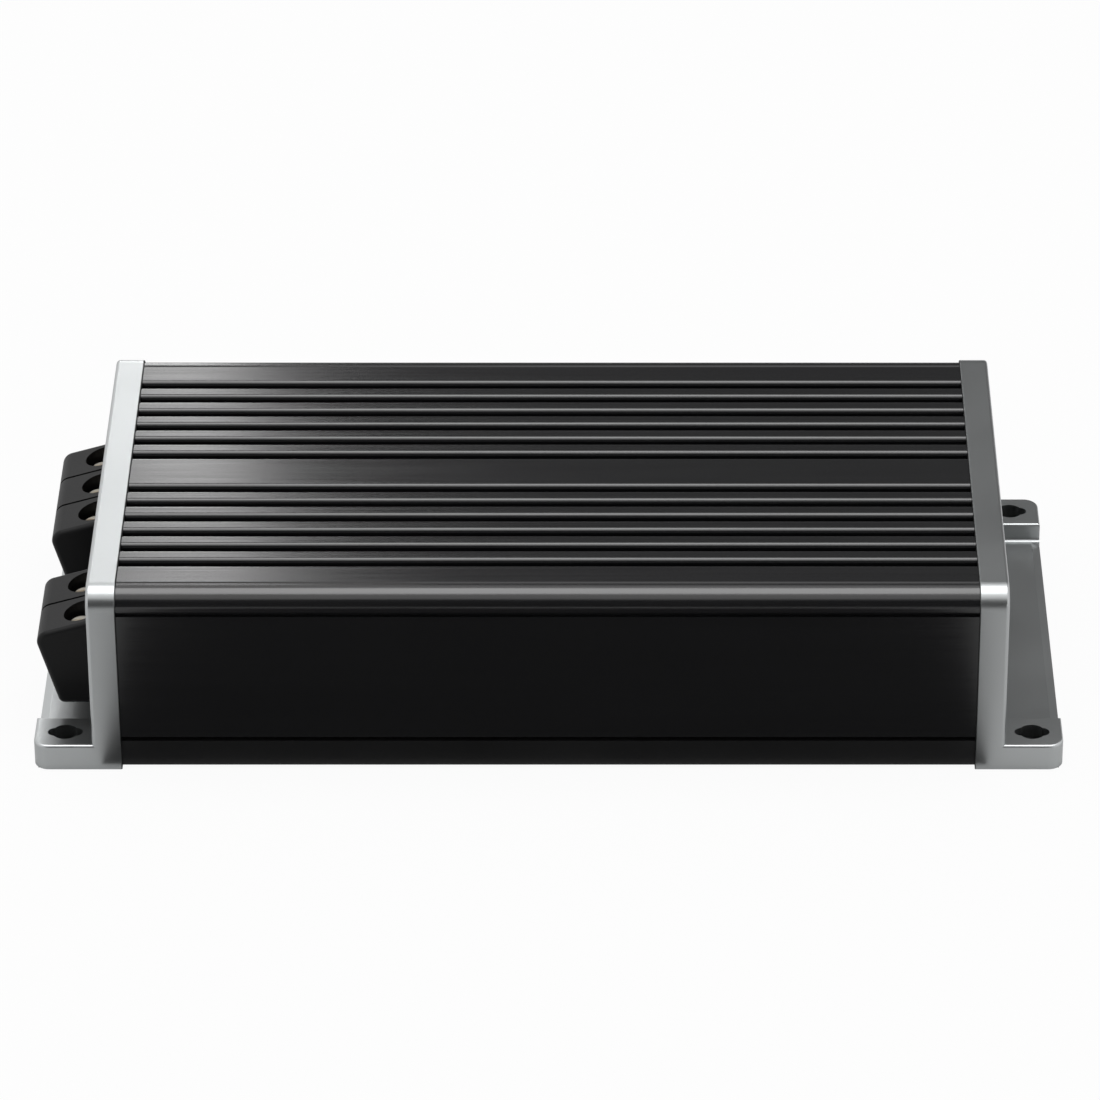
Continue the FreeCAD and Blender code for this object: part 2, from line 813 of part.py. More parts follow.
def jack_cavity_low():
    """Height of the jack cavity's floor, above the latch slot."""
    return board_top + jack_floor + jack_latch_height / 2


def jack_contacts():
    """Sprung contact wires under the jack's roof."""
    top = jack_cavity_low() + jack_cavity_height
    back, front = connector_front - jack_cavity_depth, connector_front - 1.5
    first = jack_y - jack_contact_pitch * (jack_contact_count - 1) / 2
    wires = []
    for k in range(jack_contact_count):
        y = first + jack_contact_pitch * k
        side = [(back, top - jack_contact_fall, 0), (back, top - jack_contact_fall - jack_contact_size, 0),
                (front, top - jack_contact_size, 0), (front, top, 0)]
        wires.append(along_y(side, y - jack_contact_size / 2, y + jack_contact_size / 2))
    return Part.makeCompound(wires)


def control_board():
    """The small upright board that carries the knobs, switches and lamps."""
    low = first_y - control_width / 2 - control_board_margin
    high = third_y + control_width / 2 + control_board_margin
    back = control_board_x - control_board_thickness
    return block(back, control_board_x, low, high, board_top, ceiling - headroom)


def level_pots():
    """Three rotary controls on the upright board."""
    pots = []
    for y in (first_y, second_y, third_y):
        body = block(control_board_x, control_board_x + pot_depth, y - pot_size / 2, y + pot_size / 2,
                     high_row_z - pot_size / 2, high_row_z + pot_size / 2)
        front = control_board_x + pot_depth
        bore_radius = shaft_radius + shaft_clearance
        bore = rod(bore_radius, (front - pot_shaft_depth, y, high_row_z), (front + 1, y, high_row_z))
        pots.append(body.cut(bore))
    return Part.makeCompound(pots)


def level_knob(y):
    """A grooved knob with a driver slot, in one piece with its shaft."""
    back = panel_outer_x + knob_gap
    front = back + knob_thickness
    head = rod(knob_radius, (back, y, high_row_z), (front, y, high_row_z))
    head = round_edges(head, knob_edge_radius, lambda e: lies_at(e, "X", front))
    for k in range(knob_groove_count):
        angle = math.radians(360 / knob_groove_count * (k + 0.5))
        gy, gz = y + knob_radius * math.cos(angle), high_row_z + knob_radius * math.sin(angle)
        head = head.cut(rod(knob_groove_radius, (back - 1, gy, gz), (front + 1, gy, gz)))
    slot = block(front - knob_slot_depth, front + 1, y - knob_slot_width / 2, y + knob_slot_width / 2,
                 high_row_z - knob_radius * 0.2, high_row_z + knob_radius + 1)
    shaft_end = control_board_x + pot_depth - pot_shaft_depth + shaft_clearance
    shaft = rod(shaft_radius, (shaft_end, y, high_row_z), (back, y, high_row_z))
    return head.cut(slot).fuse(shaft).removeSplitter()


def switch_bodies():
    """Two slide switches on the upright board, open towards the panel."""
    bodies = []
    front = control_board_x + switch_depth
    for y in (first_y, second_y):
        body = block(control_board_x, front, y - switch_length / 2, y + switch_length / 2,
                     low_row_z - switch_height / 2, low_row_z + switch_height / 2)
        reach = (slider_size + slider_travel) / 2 + slider_clearance
        tall = slider_size / 2 + slider_clearance
        bodies.append(body.cut(block(front - slider_depth - slider_clearance, front + 1, y - reach, y + reach,
                                     low_row_z - tall, low_row_z + tall)))
    return Part.makeCompound(bodies)


def slider(y):
    """A switch's nub at the front end of its travel."""
    start = y - slider_travel / 2 - slider_size / 2
    return block(control_board_x + switch_depth - slider_depth, panel_outer_x + slider_proud,
                 start, start + slider_size, low_row_z - slider_size / 2, low_row_z + slider_size / 2)


def tact_switch():
    """The switch under the set-up button."""
    front = control_board_x + tact_depth
    body = block(control_board_x, front, third_y - tact_size / 2, third_y + tact_size / 2,
                 low_row_z - switch_height / 2, low_row_z + switch_height / 2)
    depth = button_stem_depth + button_travel + button_clearance
    return body.cut(rod(button_stem_radius + shaft_clearance, (front - depth, third_y, low_row_z),
                        (front + 1, third_y, low_row_z)))


def setup_button():
    """A round button with its stem."""
    front = panel_outer_x + button_proud
    shoulder = control_board_x + tact_depth + button_travel + button_clearance
    cap = rod(button_radius, (shoulder, third_y, low_row_z), (front, third_y, low_row_z))
    cap = round_edges(cap, button_edge_radius, lambda e: lies_at(e, "X", front))
    stem = rod(button_stem_radius, (control_board_x + tact_depth - button_stem_depth, third_y, low_row_z),
               (shoulder, third_y, low_row_z))
    return cap.fuse(stem).removeSplitter()


def status_leds():
    """Two domed lamps with their long bodies."""
    lamps = []
    for y in led_centres():
        body = rod(led_radius, (control_board_x, y, low_row_z), (panel_outer_x + led_proud, y, low_row_z))
        dome = Part.makeSphere(led_radius, V(panel_outer_x + led_proud, y, low_row_z))
        lamps.append(body.fuse(dome).removeSplitter())
    return Part.makeCompound(lamps)


# ---- inside the case ----
def main_board():
    """The circuit board that lies on the two rails."""
    reach_x, reach_y = board_half_length, board_half_width
    board = block(-reach_x, reach_x, -reach_y, reach_y, board_z, board_top)
    for x, y in rail_screw_places(board_screw_spread):
        board = board.cut(rod(screw_radius + screw_clearance, (x, y, board_z - 1), (x, y, board_top + 1)))
    return board


def board_screws():
    """Pan-head screws that hold the board to the rails."""
    screws = []
    for x, y in rail_screw_places(board_screw_spread):
        head = rod(board_screw_head_radius, (x, y, board_top), (x, y, board_top + board_screw_head_height))
        shank = rod(screw_radius, (x, y, board_z - board_screw_reach), (x, y, board_top))
        slot = block(x - board_screw_head_radius, x + board_screw_head_radius, y - screw_slot_width / 2,
                     y + screw_slot_width / 2, board_top + board_screw_head_height / 2, board_top + 9)
        screws.append(head.fuse(shank).removeSplitter().cut(slot))
    return Part.makeCompound(screws)


def insulator_sheet():
    """The sheet that keeps the board's underside off the tray."""
    reach_x, reach_y = board_half_length - sheet_margin, rail_inner - sheet_margin
    return block(-reach_x, reach_x, -reach_y, reach_y, tray_top, tray_top + sheet_thickness)


def ring(outer, inner, height, x, y, z):
    """A flat ring standing on z."""
    return rod(outer, (x, y, z), (x, y, z + height)).cut(rod(inner, (x, y, z - 1), (x, y, z + height + 1)))


def wound_ring(outer, inner, height, x, y):
    """A ring core and the coil round it, as two solids that lie on the board."""
    base = board_top + winding_build
    core = ring(outer, inner, height, x, y, base)
    build = winding_build
    coil = ring(outer + build, inner - build, height + 2 * build, x, y, board_top)
    coil = round_edges(coil, build * 0.8, lambda e: lies_at(e, "Z", board_top + height + 2 * build))
    fit = winding_fit
    coil = coil.cut(ring(outer + fit, inner - fit, height + 2 * fit, x, y, base - fit))
    reach = 2 * outer
    spread = reach * math.tan(math.radians(winding_gap_deg / 2))
    gap = along_z([(x, y, 0), (x + reach, y - spread, 0), (x + reach, y + spread, 0)], 0, overall_height)
    return core, coil.cut(gap)


def bulk_capacitors():
    """The row of tall supply capacitors behind the terminals."""
    cans = []
    pitch = 2 * capacitor_radius + capacitor_gap
    first = -pitch * (capacitor_count - 1) / 2
    x = capacitor_x * board_half_length
    for k in range(capacitor_count):
        y = first + pitch * k
        top = board_top + tall_height
        can = rod(capacitor_radius, (x, y, board_top), (x, y, top))
        can = round_edges(can, capacitor_edge_radius, lambda e: lies_at(e, "Z", top))
        vent_length, vent_width = capacitor_vent_length / 2, capacitor_vent_width / 2
        for along, across in ((vent_length, vent_width), (vent_width, vent_length)):
            can = can.cut(block(x - along, x + along, y - across, y + across,
                                top - capacitor_vent_depth, top + 1))
        cans.append(can)
    return Part.makeCompound(cans)


def film_capacitor():
    """The output filter's boxed capacitor."""
    x, y = film_capacitor_x * board_half_length, film_capacitor_y
    box = block(x - film_capacitor_length / 2, x + film_capacitor_length / 2, y - film_capacitor_width / 2,
                y + film_capacitor_width / 2, board_top, board_top + film_capacitor_height)
    top = board_top + film_capacitor_height
    return round_edges(box, 0.5, lambda e: lies_at(e, "Z", top))


def transistor_centres():
    """Places along X of the transistors of one wall."""
    middle = transistor_x * board_half_length
    pitch = transistor_width + transistor_gap
    first = middle - pitch * (transistor_count - 1) / 2
    return [first + pitch * k for k in range(transistor_count)]


def clamp_z():
    """Height of the clamp bars' middle, on the transistors' bodies."""
    low = board_top + transistor_lead_length
    body_top = low + (tall_height - transistor_lead_length) * (1 - transistor_tab_share)
    return (low + body_top) / 2


def transistor(x, side):
    """One upright power transistor against the pad of its wall."""
    back = wall_inner - pad_thickness
    low, top = board_top + transistor_lead_length, board_top + tall_height
    body_top = top - (top - low) * transistor_tab_share
    half = transistor_width / 2
    tab = block(x - half, x + half, back - transistor_tab_thickness, back, low, top)
    body = block(x - half, x + half, back - transistor_thickness, back, low, body_top)
    shape = tab.fuse(body)
    middle = back - transistor_thickness / 2
    reach = transistor_lead_size / 2
    for k in (-1, 0, 1):
        lead_x = x + k * transistor_lead_pitch
        lead = block(lead_x - reach, lead_x + reach, middle - reach, middle + reach, board_top, low + 1)
        shape = shape.fuse(lead)
    hole_z = (body_top + top) / 2
    hole = rod(screw_radius, (x, back - transistor_thickness, hole_z), (x, back + 1, hole_z))
    shape = shape.cut(hole).removeSplitter()
    return shape if side > 0 else shape.mirror(V(0, 0, 0), Y_AXIS)


def power_transistors():
    """Both rows of power transistors."""
    return Part.makeCompound([transistor(x, side) for side in (-1, 1) for x in transistor_centres()])


def wall_strip(side, x_margin, depth_near, depth_far, z0, z1):
    """A bar along a wall behind or before its transistors, from one depth off the wall to another."""
    centres = transistor_centres()
    reach = transistor_width / 2 + x_margin
    y = sorted((side * (wall_inner - depth_near), side * (wall_inner - depth_far)))
    return block(centres[0] - reach, centres[-1] + reach, y[0], y[1], z0, z1)


def thermal_pads():
    """The insulating pads between the transistors and the walls."""
    low = board_top + transistor_lead_length
    pads = []
    for side in (-1, 1):
        pad = wall_strip(side, pad_margin, 0, pad_thickness, low - pad_margin, board_top + tall_height)
        for x in clamp_screw_places():
            pad = pad.cut(rod(screw_radius + screw_clearance, (x, side * (wall_inner - 1), clamp_z()),
                              (x, side * (wall_inner + 1), clamp_z())))
        pads.append(pad)
    return Part.makeCompound(pads)


def clamp_bars():
    """The bars that press each row of transistors to its wall."""
    near = pad_thickness + transistor_thickness
    bars = []
    for side in (-1, 1):
        bar = wall_strip(side, 0, near, near + clamp_bar_thickness, clamp_z() - clamp_bar_height / 2,
                         clamp_z() + clamp_bar_height / 2)
        for x in clamp_screw_places():
            bar = bar.cut(rod(screw_radius + screw_clearance, (x, side * (wall_inner - 12), clamp_z()),
                              (x, side * wall_inner, clamp_z())))
        bars.append(bar)
    return Part.makeCompound(bars)


def clamp_screws():
    """The screws of the clamp bars."""
    seat = wall_inner - pad_thickness - transistor_thickness - clamp_bar_thickness
    top, tip = seat - clamp_screw_head_height, wall_inner + clamp_screw_bite
    z = clamp_z()
    screws = []
    for side in (-1, 1):
        for x in clamp_screw_places():
            head = rod(clamp_screw_head_radius, (x, side * top, z), (x, side * seat, z))
            shank = rod(screw_radius, (x, side * seat, z), (x, side * tip, z))
            screws.append(head.fuse(shank).removeSplitter())
    return Part.makeCompound(screws)


def signal_chips():
    """The sound processor and its two driver chips."""
    chips = []
    x = processor_x * board_half_length
    half = processor_size / 2
    chips.append(block(x - half, x + half, -half, half, board_top, board_top + processor_height))
    for side in (-1, 1):
        cx, cy, half = driver_x * board_half_length, side * driver_y, driver_size / 2
        chips.append(block(cx - half, cx + half, cy - half, cy + half, board_top, board_top + driver_height))
    return Part.makeCompound(chips)


def build():
    """Every node of the amplifier by name."""
    nodes = {
        "heatsink_shell": heatsink_shell(),
        "base_tray": base_tray(),
        "base_screws": base_screws(),
        "right_end_cap": end_cap(),
        "right_cap_screws": cap_screws(),
        "terminal_panel": terminal_panel(),
        "control_panel": control_panel(),
        "speaker_terminal_housing": terminal_housing(speaker_block_start, speaker_centres),
        "power_terminal_housing": terminal_housing(power_block_start, power_centres),
        "speaker_contact_bars": contact_bars(speaker_centres),
        "power_contact_bars": contact_bars(power_centres),
        "input_header": input_header(),
        "input_header_pins": header_pins(),
        "remote_jack": remote_jack(),
        "remote_jack_contacts": jack_contacts(),
        "control_board": control_board(),
        "level_pots": level_pots(),
        "slide_switch_bodies": switch_bodies(),
        "tact_switch": tact_switch(),
        "setup_button": setup_button(),
        "status_leds": status_leds(),
        "main_board": main_board(),
        "board_screws": board_screws(),
        "insulator_sheet": insulator_sheet(),
        "bulk_capacitors": bulk_capacitors(),
        "film_capacitor": film_capacitor(),
        "power_transistors": power_transistors(),
        "thermal_pads": thermal_pads(),
        "clamp_bars": clamp_bars(),
        "clamp_screws": clamp_screws(),
        "signal_chips": signal_chips(),
    }
    nodes["left_end_cap"] = mirrored(nodes["right_end_cap"])
    nodes["left_cap_screws"] = mirrored(nodes["right_cap_screws"])
    nodes["transformer_core"], nodes["transformer_winding"] = wound_ring(
        transformer_outer, transformer_inner, transformer_core_height, transformer_x * board_half_length, 0)
    nodes["inductor_core"], nodes["inductor_winding"] = wound_ring(
        inductor_outer, inductor_inner, inductor_core_height, inductor_x * board_half_length, inductor_y)
    for name, centres in (("speaker", speaker_centres), ("power", power_centres)):
        for number, y in enumerate(centres, start=1):
            nodes[f"{name}_clamp_screw_{number}"] = clamp_screw(y)
            nodes[f"{name}_clamp_cage_{number}"] = clamp_cage(y)
    for name, y in (("gain", first_y), ("crossover", second_y), ("boost", third_y)):
        nodes[f"{name}_knob"] = level_knob(y)
    for name, y in (("input_range", first_y), ("auto_start", second_y)):
        nodes[f"{name}_slider"] = slider(y)
    return nodes


os.makedirs("parts", exist_ok=True)
for node_name, node_shape in build().items():
    node_shape.exportStep(f"parts/{node_name}.step")
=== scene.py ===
"""Looks of a compact car amplifier: brushed black case, satin end caps, wire terminals and controls."""

import logging
import math
from dataclasses import dataclass
from enum import Enum
from typing import Any, Callable, Sequence

import bmesh
import bpy
from mathutils import Matrix, Vector


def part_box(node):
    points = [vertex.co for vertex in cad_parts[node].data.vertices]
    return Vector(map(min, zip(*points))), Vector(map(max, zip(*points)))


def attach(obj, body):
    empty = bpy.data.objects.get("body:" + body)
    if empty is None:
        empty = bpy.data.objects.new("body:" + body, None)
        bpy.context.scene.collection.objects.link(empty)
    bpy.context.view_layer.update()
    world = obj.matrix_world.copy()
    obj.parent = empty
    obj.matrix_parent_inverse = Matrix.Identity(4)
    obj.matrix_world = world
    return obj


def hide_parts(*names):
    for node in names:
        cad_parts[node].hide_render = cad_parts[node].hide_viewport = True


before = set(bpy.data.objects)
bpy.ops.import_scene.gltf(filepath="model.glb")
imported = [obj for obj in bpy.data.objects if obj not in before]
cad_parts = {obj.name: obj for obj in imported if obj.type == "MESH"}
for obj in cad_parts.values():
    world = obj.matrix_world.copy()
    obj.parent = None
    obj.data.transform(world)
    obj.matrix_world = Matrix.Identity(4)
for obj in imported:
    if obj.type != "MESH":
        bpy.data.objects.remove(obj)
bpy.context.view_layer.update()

LOG = logging.getLogger("amplifier")
MM = 0.001
FACES_THAT_WAY = 0.9
FACES_ASIDE = 0.3
MERGE_DISTANCE = 1e-6
BEVEL_ANGLE_DEG = 35.0
SMOOTH_ANGLE_DEG = 38.0
SOCKET_SIDES = 6
FINE_SIDES = 40
CASE = "case"
KNOBS = ("gain_knob", "crossover_knob", "boost_knob")
CLAMPS = ("speaker_clamp_screw_1", "speaker_clamp_screw_2",
          "power_clamp_screw_1", "power_clamp_screw_2", "power_clamp_screw_3")

Colour = tuple[float, float, float]
Profile = Sequence[tuple[float, float]]


def grey(level: float) -> Colour:
    """A neutral colour."""
    return (level, level, level)


def shade(colour: Colour, factor: float) -> Colour:
    """A colour made darker or lighter."""
    return tuple(min(1.0, part * factor) for part in colour)


# ---------------------------------------------------------------- shader maths


@dataclass(frozen=True)
class Signal:
    """A shader socket that takes part in Python arithmetic, each operation adding its Math node."""

    shader: "Shader"
    socket: Any

    def _maths(self, operation: str, first: Any, second: Any) -> "Signal":
        """A Math node on two operands."""
        return self.shader.node("ShaderNodeMath", {"operation": operation}, [first, second])

    def __add__(self, other: Any) -> "Signal":
        """Sum."""
        return self._maths("ADD", self, other)

    __radd__ = __add__

    def __sub__(self, other: Any) -> "Signal":
        """Difference."""
        return self._maths("SUBTRACT", self, other)

    def __rsub__(self, other: Any) -> "Signal":
        """Difference from a number."""
        return self._maths("SUBTRACT", other, self)

    def __mul__(self, other: Any) -> "Signal":
        """Product."""
        return self._maths("MULTIPLY", self, other)

    __rmul__ = __mul__

    def __truediv__(self, other: Any) -> "Signal":
        """Quotient."""
        return self._maths("DIVIDE", self, other)

    def __pow__(self, other: Any) -> "Signal":
        """Power."""
        return self._maths("POWER", self, other)

    def above(self, level: float) -> "Signal":
        """1 where the value is over the level, else 0."""
        return self._maths("GREATER_THAN", self, level)

    def wrapped(self) -> "Signal":
        """The fractional part."""
        return self.shader.node("ShaderNodeMath", {"operation": "FRACT"}, [self])

    def absolute(self) -> "Signal":
        """The value without its sign."""
        return self.shader.node("ShaderNodeMath", {"operation": "ABSOLUTE"}, [self])

    def bearing(self, across: "Signal") -> "Signal":
        """The angle of a point with this height and that distance across, in radians."""
        return self._maths("ARCTAN2", self, across)

    def smoothed(self, low: float, high: float) -> "Signal":
        """A smooth step from 0 to 1.

        Args:
            low: where it leaves 0.
            high: where it reaches 1.

        Returns:
            The step.
        """
        settings = {"interpolation_type": "SMOOTHSTEP"}
        inputs = {"Value": self, "From Min": low, "From Max": high}
        return self.shader.node("ShaderNodeMapRange", settings, inputs)


class Shader:
    """The node tree of one material."""

    def __init__(self, name: str) -> None:
        """Starts a material with one Principled shader.

        Args:
            name: the material's name.
        """
        self.material = bpy.data.materials.new(name)
        self.material.use_nodes = True
        self.tree = self.material.node_tree
        self.surface = self.tree.nodes["Principled BSDF"]

    def node(self, kind: str, settings: dict[str, Any], inputs: Any = (), output: int | str = 0) -> Signal:
        """Adds a node.

        Args:
            kind: the node's type.
            settings: attributes of the node, set first.
            inputs: values or links of its sockets, as a list in order or a dict by name.
            output: the output socket's name or number.

        Returns:
            The output socket.
        """
        added = self.tree.nodes.new(kind)
        for key, value in settings.items():
            setattr(added, key, value)
        pairs = inputs.items() if isinstance(inputs, dict) else enumerate(inputs)
        for key, value in pairs:
            self.feed(added.inputs[key], value)
        return Signal(self, added.outputs[output])

    def feed(self, socket: Any, value: Any) -> None:
        """Links a signal to a socket, or sets the socket's own value.

        Args:
            socket: the input socket.
            value: a signal, a colour or a number.
        """
        if isinstance(value, Signal):
            self.tree.links.new(value.socket, socket)
        elif isinstance(value, tuple) and len(value) == 3 and socket.type == "RGBA":
            socket.default_value = (*value, 1.0)
        else:
            socket.default_value = value

    def place(self, scale: Sequence[float] = (1, 1, 1), centre: Sequence[float] = (0, 0, 0)) -> Signal:
        """Object coordinates about a centre, stretched along each axis.

        Args:
            scale: the stretch along each axis.
            centre: the point that becomes the origin.

        Returns:
            The coordinates as a vector.
        """
        coordinates = self.node("ShaderNodeTexCoord", {}, output="Object")
        offset = tuple(-c * s for c, s in zip(centre, scale))
        inputs = {"Vector": coordinates, "Location": offset, "Scale": tuple(scale)}
        return self.node("ShaderNodeMapping", {}, inputs)

    def noise(self, scale: Sequence[float], detail: float = 3.0, roughness: float = 0.5) -> Signal:
        """Noise with that many features a metre along each axis, from 0 to 1.

        Args:
            scale: features a metre along each axis.
            detail: how many finer octaves it has.
            roughness: how strong the finer octaves are.

        Returns:
            The noise, from 0 to 1.
        """
        inputs = {"Vector": self.place(scale), "Scale": 1.0, "Detail": detail, "Roughness": roughness}
        return self.node("ShaderNodeTexNoise", {}, inputs)

    def axes(self, vector: Signal) -> tuple[Signal, Signal, Signal]:
        """The three parts of a vector."""
        split = self.node("ShaderNodeSeparateXYZ", {}, [vector])
        return tuple(Signal(self, output) for output in split.socket.node.outputs)

    def blend(self, amount: Any, first: Any, second: Any) -> Signal:
        """A colour between two colours.

        Args:
            amount: 0 for the first colour, 1 for the second.
            first: a colour or a signal.
            second: a colour or a signal.

        Returns:
            The mixed colour.
        """
        mix = self.node("ShaderNodeMix", {"data_type": "RGBA"}, {"Factor": amount}, output="Result")
        sockets = [s for s in mix.socket.node.inputs if s.type == "RGBA"]
        self.feed(sockets[0], first)
        self.feed(sockets[1], second)
        result = [s for s in mix.socket.node.outputs if s.type == "RGBA"][0]
        return Signal(self, result)

    def bump(self, height: Signal, depth: float) -> None:
        """Turns a height signal of that depth in metres into the surface's normal."""
        normal = self.node("ShaderNodeBump", {}, {"Height": height, "Distance": depth, "Strength": 1.0})
        self.feed(self.surface.inputs["Normal"], normal)

    def set(self, **values: Any) -> None:
        """Feeds the shader's sockets, named with underscores in place of spaces."""
        for key, value in values.items():
            self.feed(self.surface.inputs[key.replace("_", " ")], value)


# ---------------------------------------------------------------- finishes


@dataclass(frozen=True)
class BrushedAnodising:
    """Black anodised extrusion, brushed along its length."""

    colour: Colour = (0.0056, 0.0057, 0.0062)
    roughness: float = 0.20
    streaks_across: float = 3200.0
    streak_length: float = 0.045
    streak_depth: float = 0.0000035

    def material(self) -> bpy.types.Material:
        """Streaks that run along X, a cloudy depth of dye and rubbed patches.

        Returns:
            The finished material.
        """
        shader = Shader("brushed_anodising")
        fine = shader.noise((1 / self.streak_length, self.streaks_across, self.streaks_across), 2.0)
        broad = shader.noise((8.0, self.streaks_across / 9, self.streaks_across / 9), 2.0)
        cloud = shader.noise((22.0, 22.0, 22.0), 2.0)
        tone = shader.blend(broad * 0.6 + cloud * 0.4, self.colour, shade(self.colour, 1.7))
        shader.set(Base_Color=tone, Roughness=self.roughness + (fine - 0.5) * 0.16 + (cloud - 0.5) * 0.06)
        shader.set(Specular_IOR_Level=0.85)
        shader.bump(fine * 0.7 + broad * 0.3, self.streak_depth)
        return shader.material


@dataclass(frozen=True)
class SatinCasting:
    """Plated die casting with a fine blasted skin and painted shade along its seam against the case."""

    name: str = "satin_casting"
    colour: Colour = (0.47, 0.485, 0.488)
    roughness: float = 0.32
    grain: float = 5200.0
    grain_depth: float = 0.000006
    seam_x: float = 0.0849
    seam_shade_reach: float = 0.00028

    def material(self) -> bpy.types.Material:
        """Fine grain over slow changes of tone and gloss, with painted shade making it dark and dull along the
        seam.

        Returns:
            The finished material.
        """
        shader = Shader(self.name)
        grain = shader.noise((self.grain,) * 3, 2.0, 0.6)
        flow = shader.noise((35.0, 35.0, 60.0), 3.0)
        across, _, _ = shader.axes(shader.place())
        # painted shade: the skin turns near black and dull just beside the seam between cap and case
        clear_of_seam_shade = across.absolute().smoothed(self.seam_x, self.seam_x + self.seam_shade_reach)
        tone = shader.blend(flow, shade(self.colour, 0.93), shade(self.colour, 1.05))
        tone = shader.blend(clear_of_seam_shade, grey(0.02), tone)
        rough = self.roughness + (flow - 0.5) * 0.10 + (grain - 0.5) * 0.08
        shader.set(Base_Color=tone, Metallic=1.0, Roughness=rough + (1 - clear_of_seam_shade) * 0.4)
        shader.bump(grain, self.grain_depth)
        return shader.material


@dataclass(frozen=True)
class Moulding:
    """Moulded plastic with a spark-eroded grain."""

    name: str
    colour: Colour
    roughness: float = 0.46
    specular: float = 0.35
    grain: float = 3600.0
    grain_depth: float = 0.000012

    def material(self) -> bpy.types.Material:
        """Pebbled grain with slight flow marks.

        Returns:
            The finished material.
        """
        shader = Shader(self.name)
        grain = shader.noise((self.grain,) * 3, 1.0)
        flow = shader.noise((90.0, 90.0, 90.0), 3.0)
        tone = shader.blend(flow, shade(self.colour, 0.86), shade(self.colour, 1.16))
        shader.set(Base_Color=tone, Roughness=self.roughness + (grain - 0.5) * 0.12 + (flow - 0.5) * 0.10)
        shader.set(Specular_IOR_Level=self.specular)
        shader.bump(grain, self.grain_depth)
        return shader.material


@dataclass(frozen=True)
class CoatedSheet:
    """Powder-coated sheet metal."""

    name: str
    colour: Colour
    roughness: float = 0.42
    pebble: float = 1900.0
    pebble_depth: float = 0.000010

    def shader(self) -> Shader:
        """Orange-peel pebbles in the coat.

        Returns:
            The shader with its coat.
        """
        shader = Shader(self.name)
        cell = {"Vector": shader.place((self.pebble,) * 3), "Scale": 1.0, "Smoothness": 1.0}
        peel = shader.node("ShaderNodeTexVoronoi", {"feature": "SMOOTH_F1"}, cell)
        cloud = shader.noise((40.0, 40.0, 40.0), 2.0)
        shader.set(Base_Color=self.tone(shader, cloud), Roughness=self.roughness + (cloud - 0.5) * 0.14)
        shader.bump(peel, self.pebble_depth)
        return shader

    def tone(self, shader: Shader, cloud: Signal) -> Signal:
        """The coat's colour, slightly uneven."""
        return shader.blend(cloud, shade(self.colour, 0.9), shade(self.colour, 1.15))

    def material(self) -> bpy.types.Material:
        """The coat's material."""
        return self.shader().material


@dataclass(frozen=True)
class DialPrint(CoatedSheet):
    """Powder coat with plain white ticks printed round each knob."""

    centres: tuple[tuple[float, float], ...] = ()
    ring: tuple[float, float] = (0.0047, 0.0055)
    ink: Colour = (0.72, 0.72, 0.70)
    step_deg: float = 28.0
    sweep_deg: float = 140.0
    tick_half_width: float = 0.00014

    def tone(self, shader: Shader, cloud: Signal) -> Signal:
        """The coat's colour with the ticks over it.

        Args:
            shader: the shader that the coat is made in.
            cloud: slow changes over the sheet.

        Returns:
            The colour.
        """
        coat = super().tone(shader, cloud)
        _, across, up = shader.axes(shader.place())
        step = math.radians(self.step_deg)
        inked = None
        for y, z in self.centres:
            side, rise = across - y, up - z
            distance = (side * side + rise * rise) ** 0.5
            bearing = side.bearing(rise)
            nearest = ((bearing / step + 0.5).wrapped() - 0.5).absolute() * step * distance
            band = distance.above(self.ring[0]) * (1 - distance.above(self.ring[1]))
            swept = 1 - bearing.absolute().above(math.radians(self.sweep_deg) + step / 4)
            ticks = band * swept * (1 - nearest.above(self.tick_half_width))
            inked = ticks if inked is None else inked + ticks
        return shader.blend(inked, coat, self.ink)


@dataclass(frozen=True)
class Metal:
    """Bare or plated metal with drawn or turned marks."""

    name: str
    colour: Colour
    roughness: float = 0.26
    metallic: float = 1.0
    marks: tuple[float, float, float] = (900.0, 900.0, 900.0)
    mark_depth: float = 0.000004

    def material(self) -> bpy.types.Material:
        """Tool marks and a slight tarnish.

        Returns:
            The finished material.
        """
        shader = Shader(self.name)
        marks = shader.noise(self.marks, 2.0)
        tarnish = shader.noise((260.0, 260.0, 260.0), 3.0)
        dull = tuple(c * k for c, k in zip(self.colour, (0.78, 0.72, 0.66)))
        tone = shader.blend(tarnish.smoothed(0.45, 0.75), self.colour, dull)
        rough = self.roughness + (tarnish - 0.5) * 0.24 + (marks - 0.5) * 0.1
        shader.set(Base_Color=tone, Metallic=self.metallic, Roughness=rough)
        shader.bump(marks, self.mark_depth)
        return shader.material


@dataclass(frozen=True)
class Lens:
    """Diffused lamp body."""

    name: str = "lamp_lens"
    colour: Colour = (0.30, 0.60, 0.85)

    def material(self) -> bpy.types.Material:
        """Cloudy epoxy with a glossy skin.

        Returns:
            The finished material.
        """
        shader = Shader(self.name)
        cloud = shader.noise((700.0, 700.0, 700.0), 2.0)
        tone = shader.blend(cloud, self.colour, shade(self.colour, 1.25))
        shader.set(Base_Color=tone, Roughness=0.12 + cloud * 0.08, Transmission_Weight=0.35)
        return shader.material


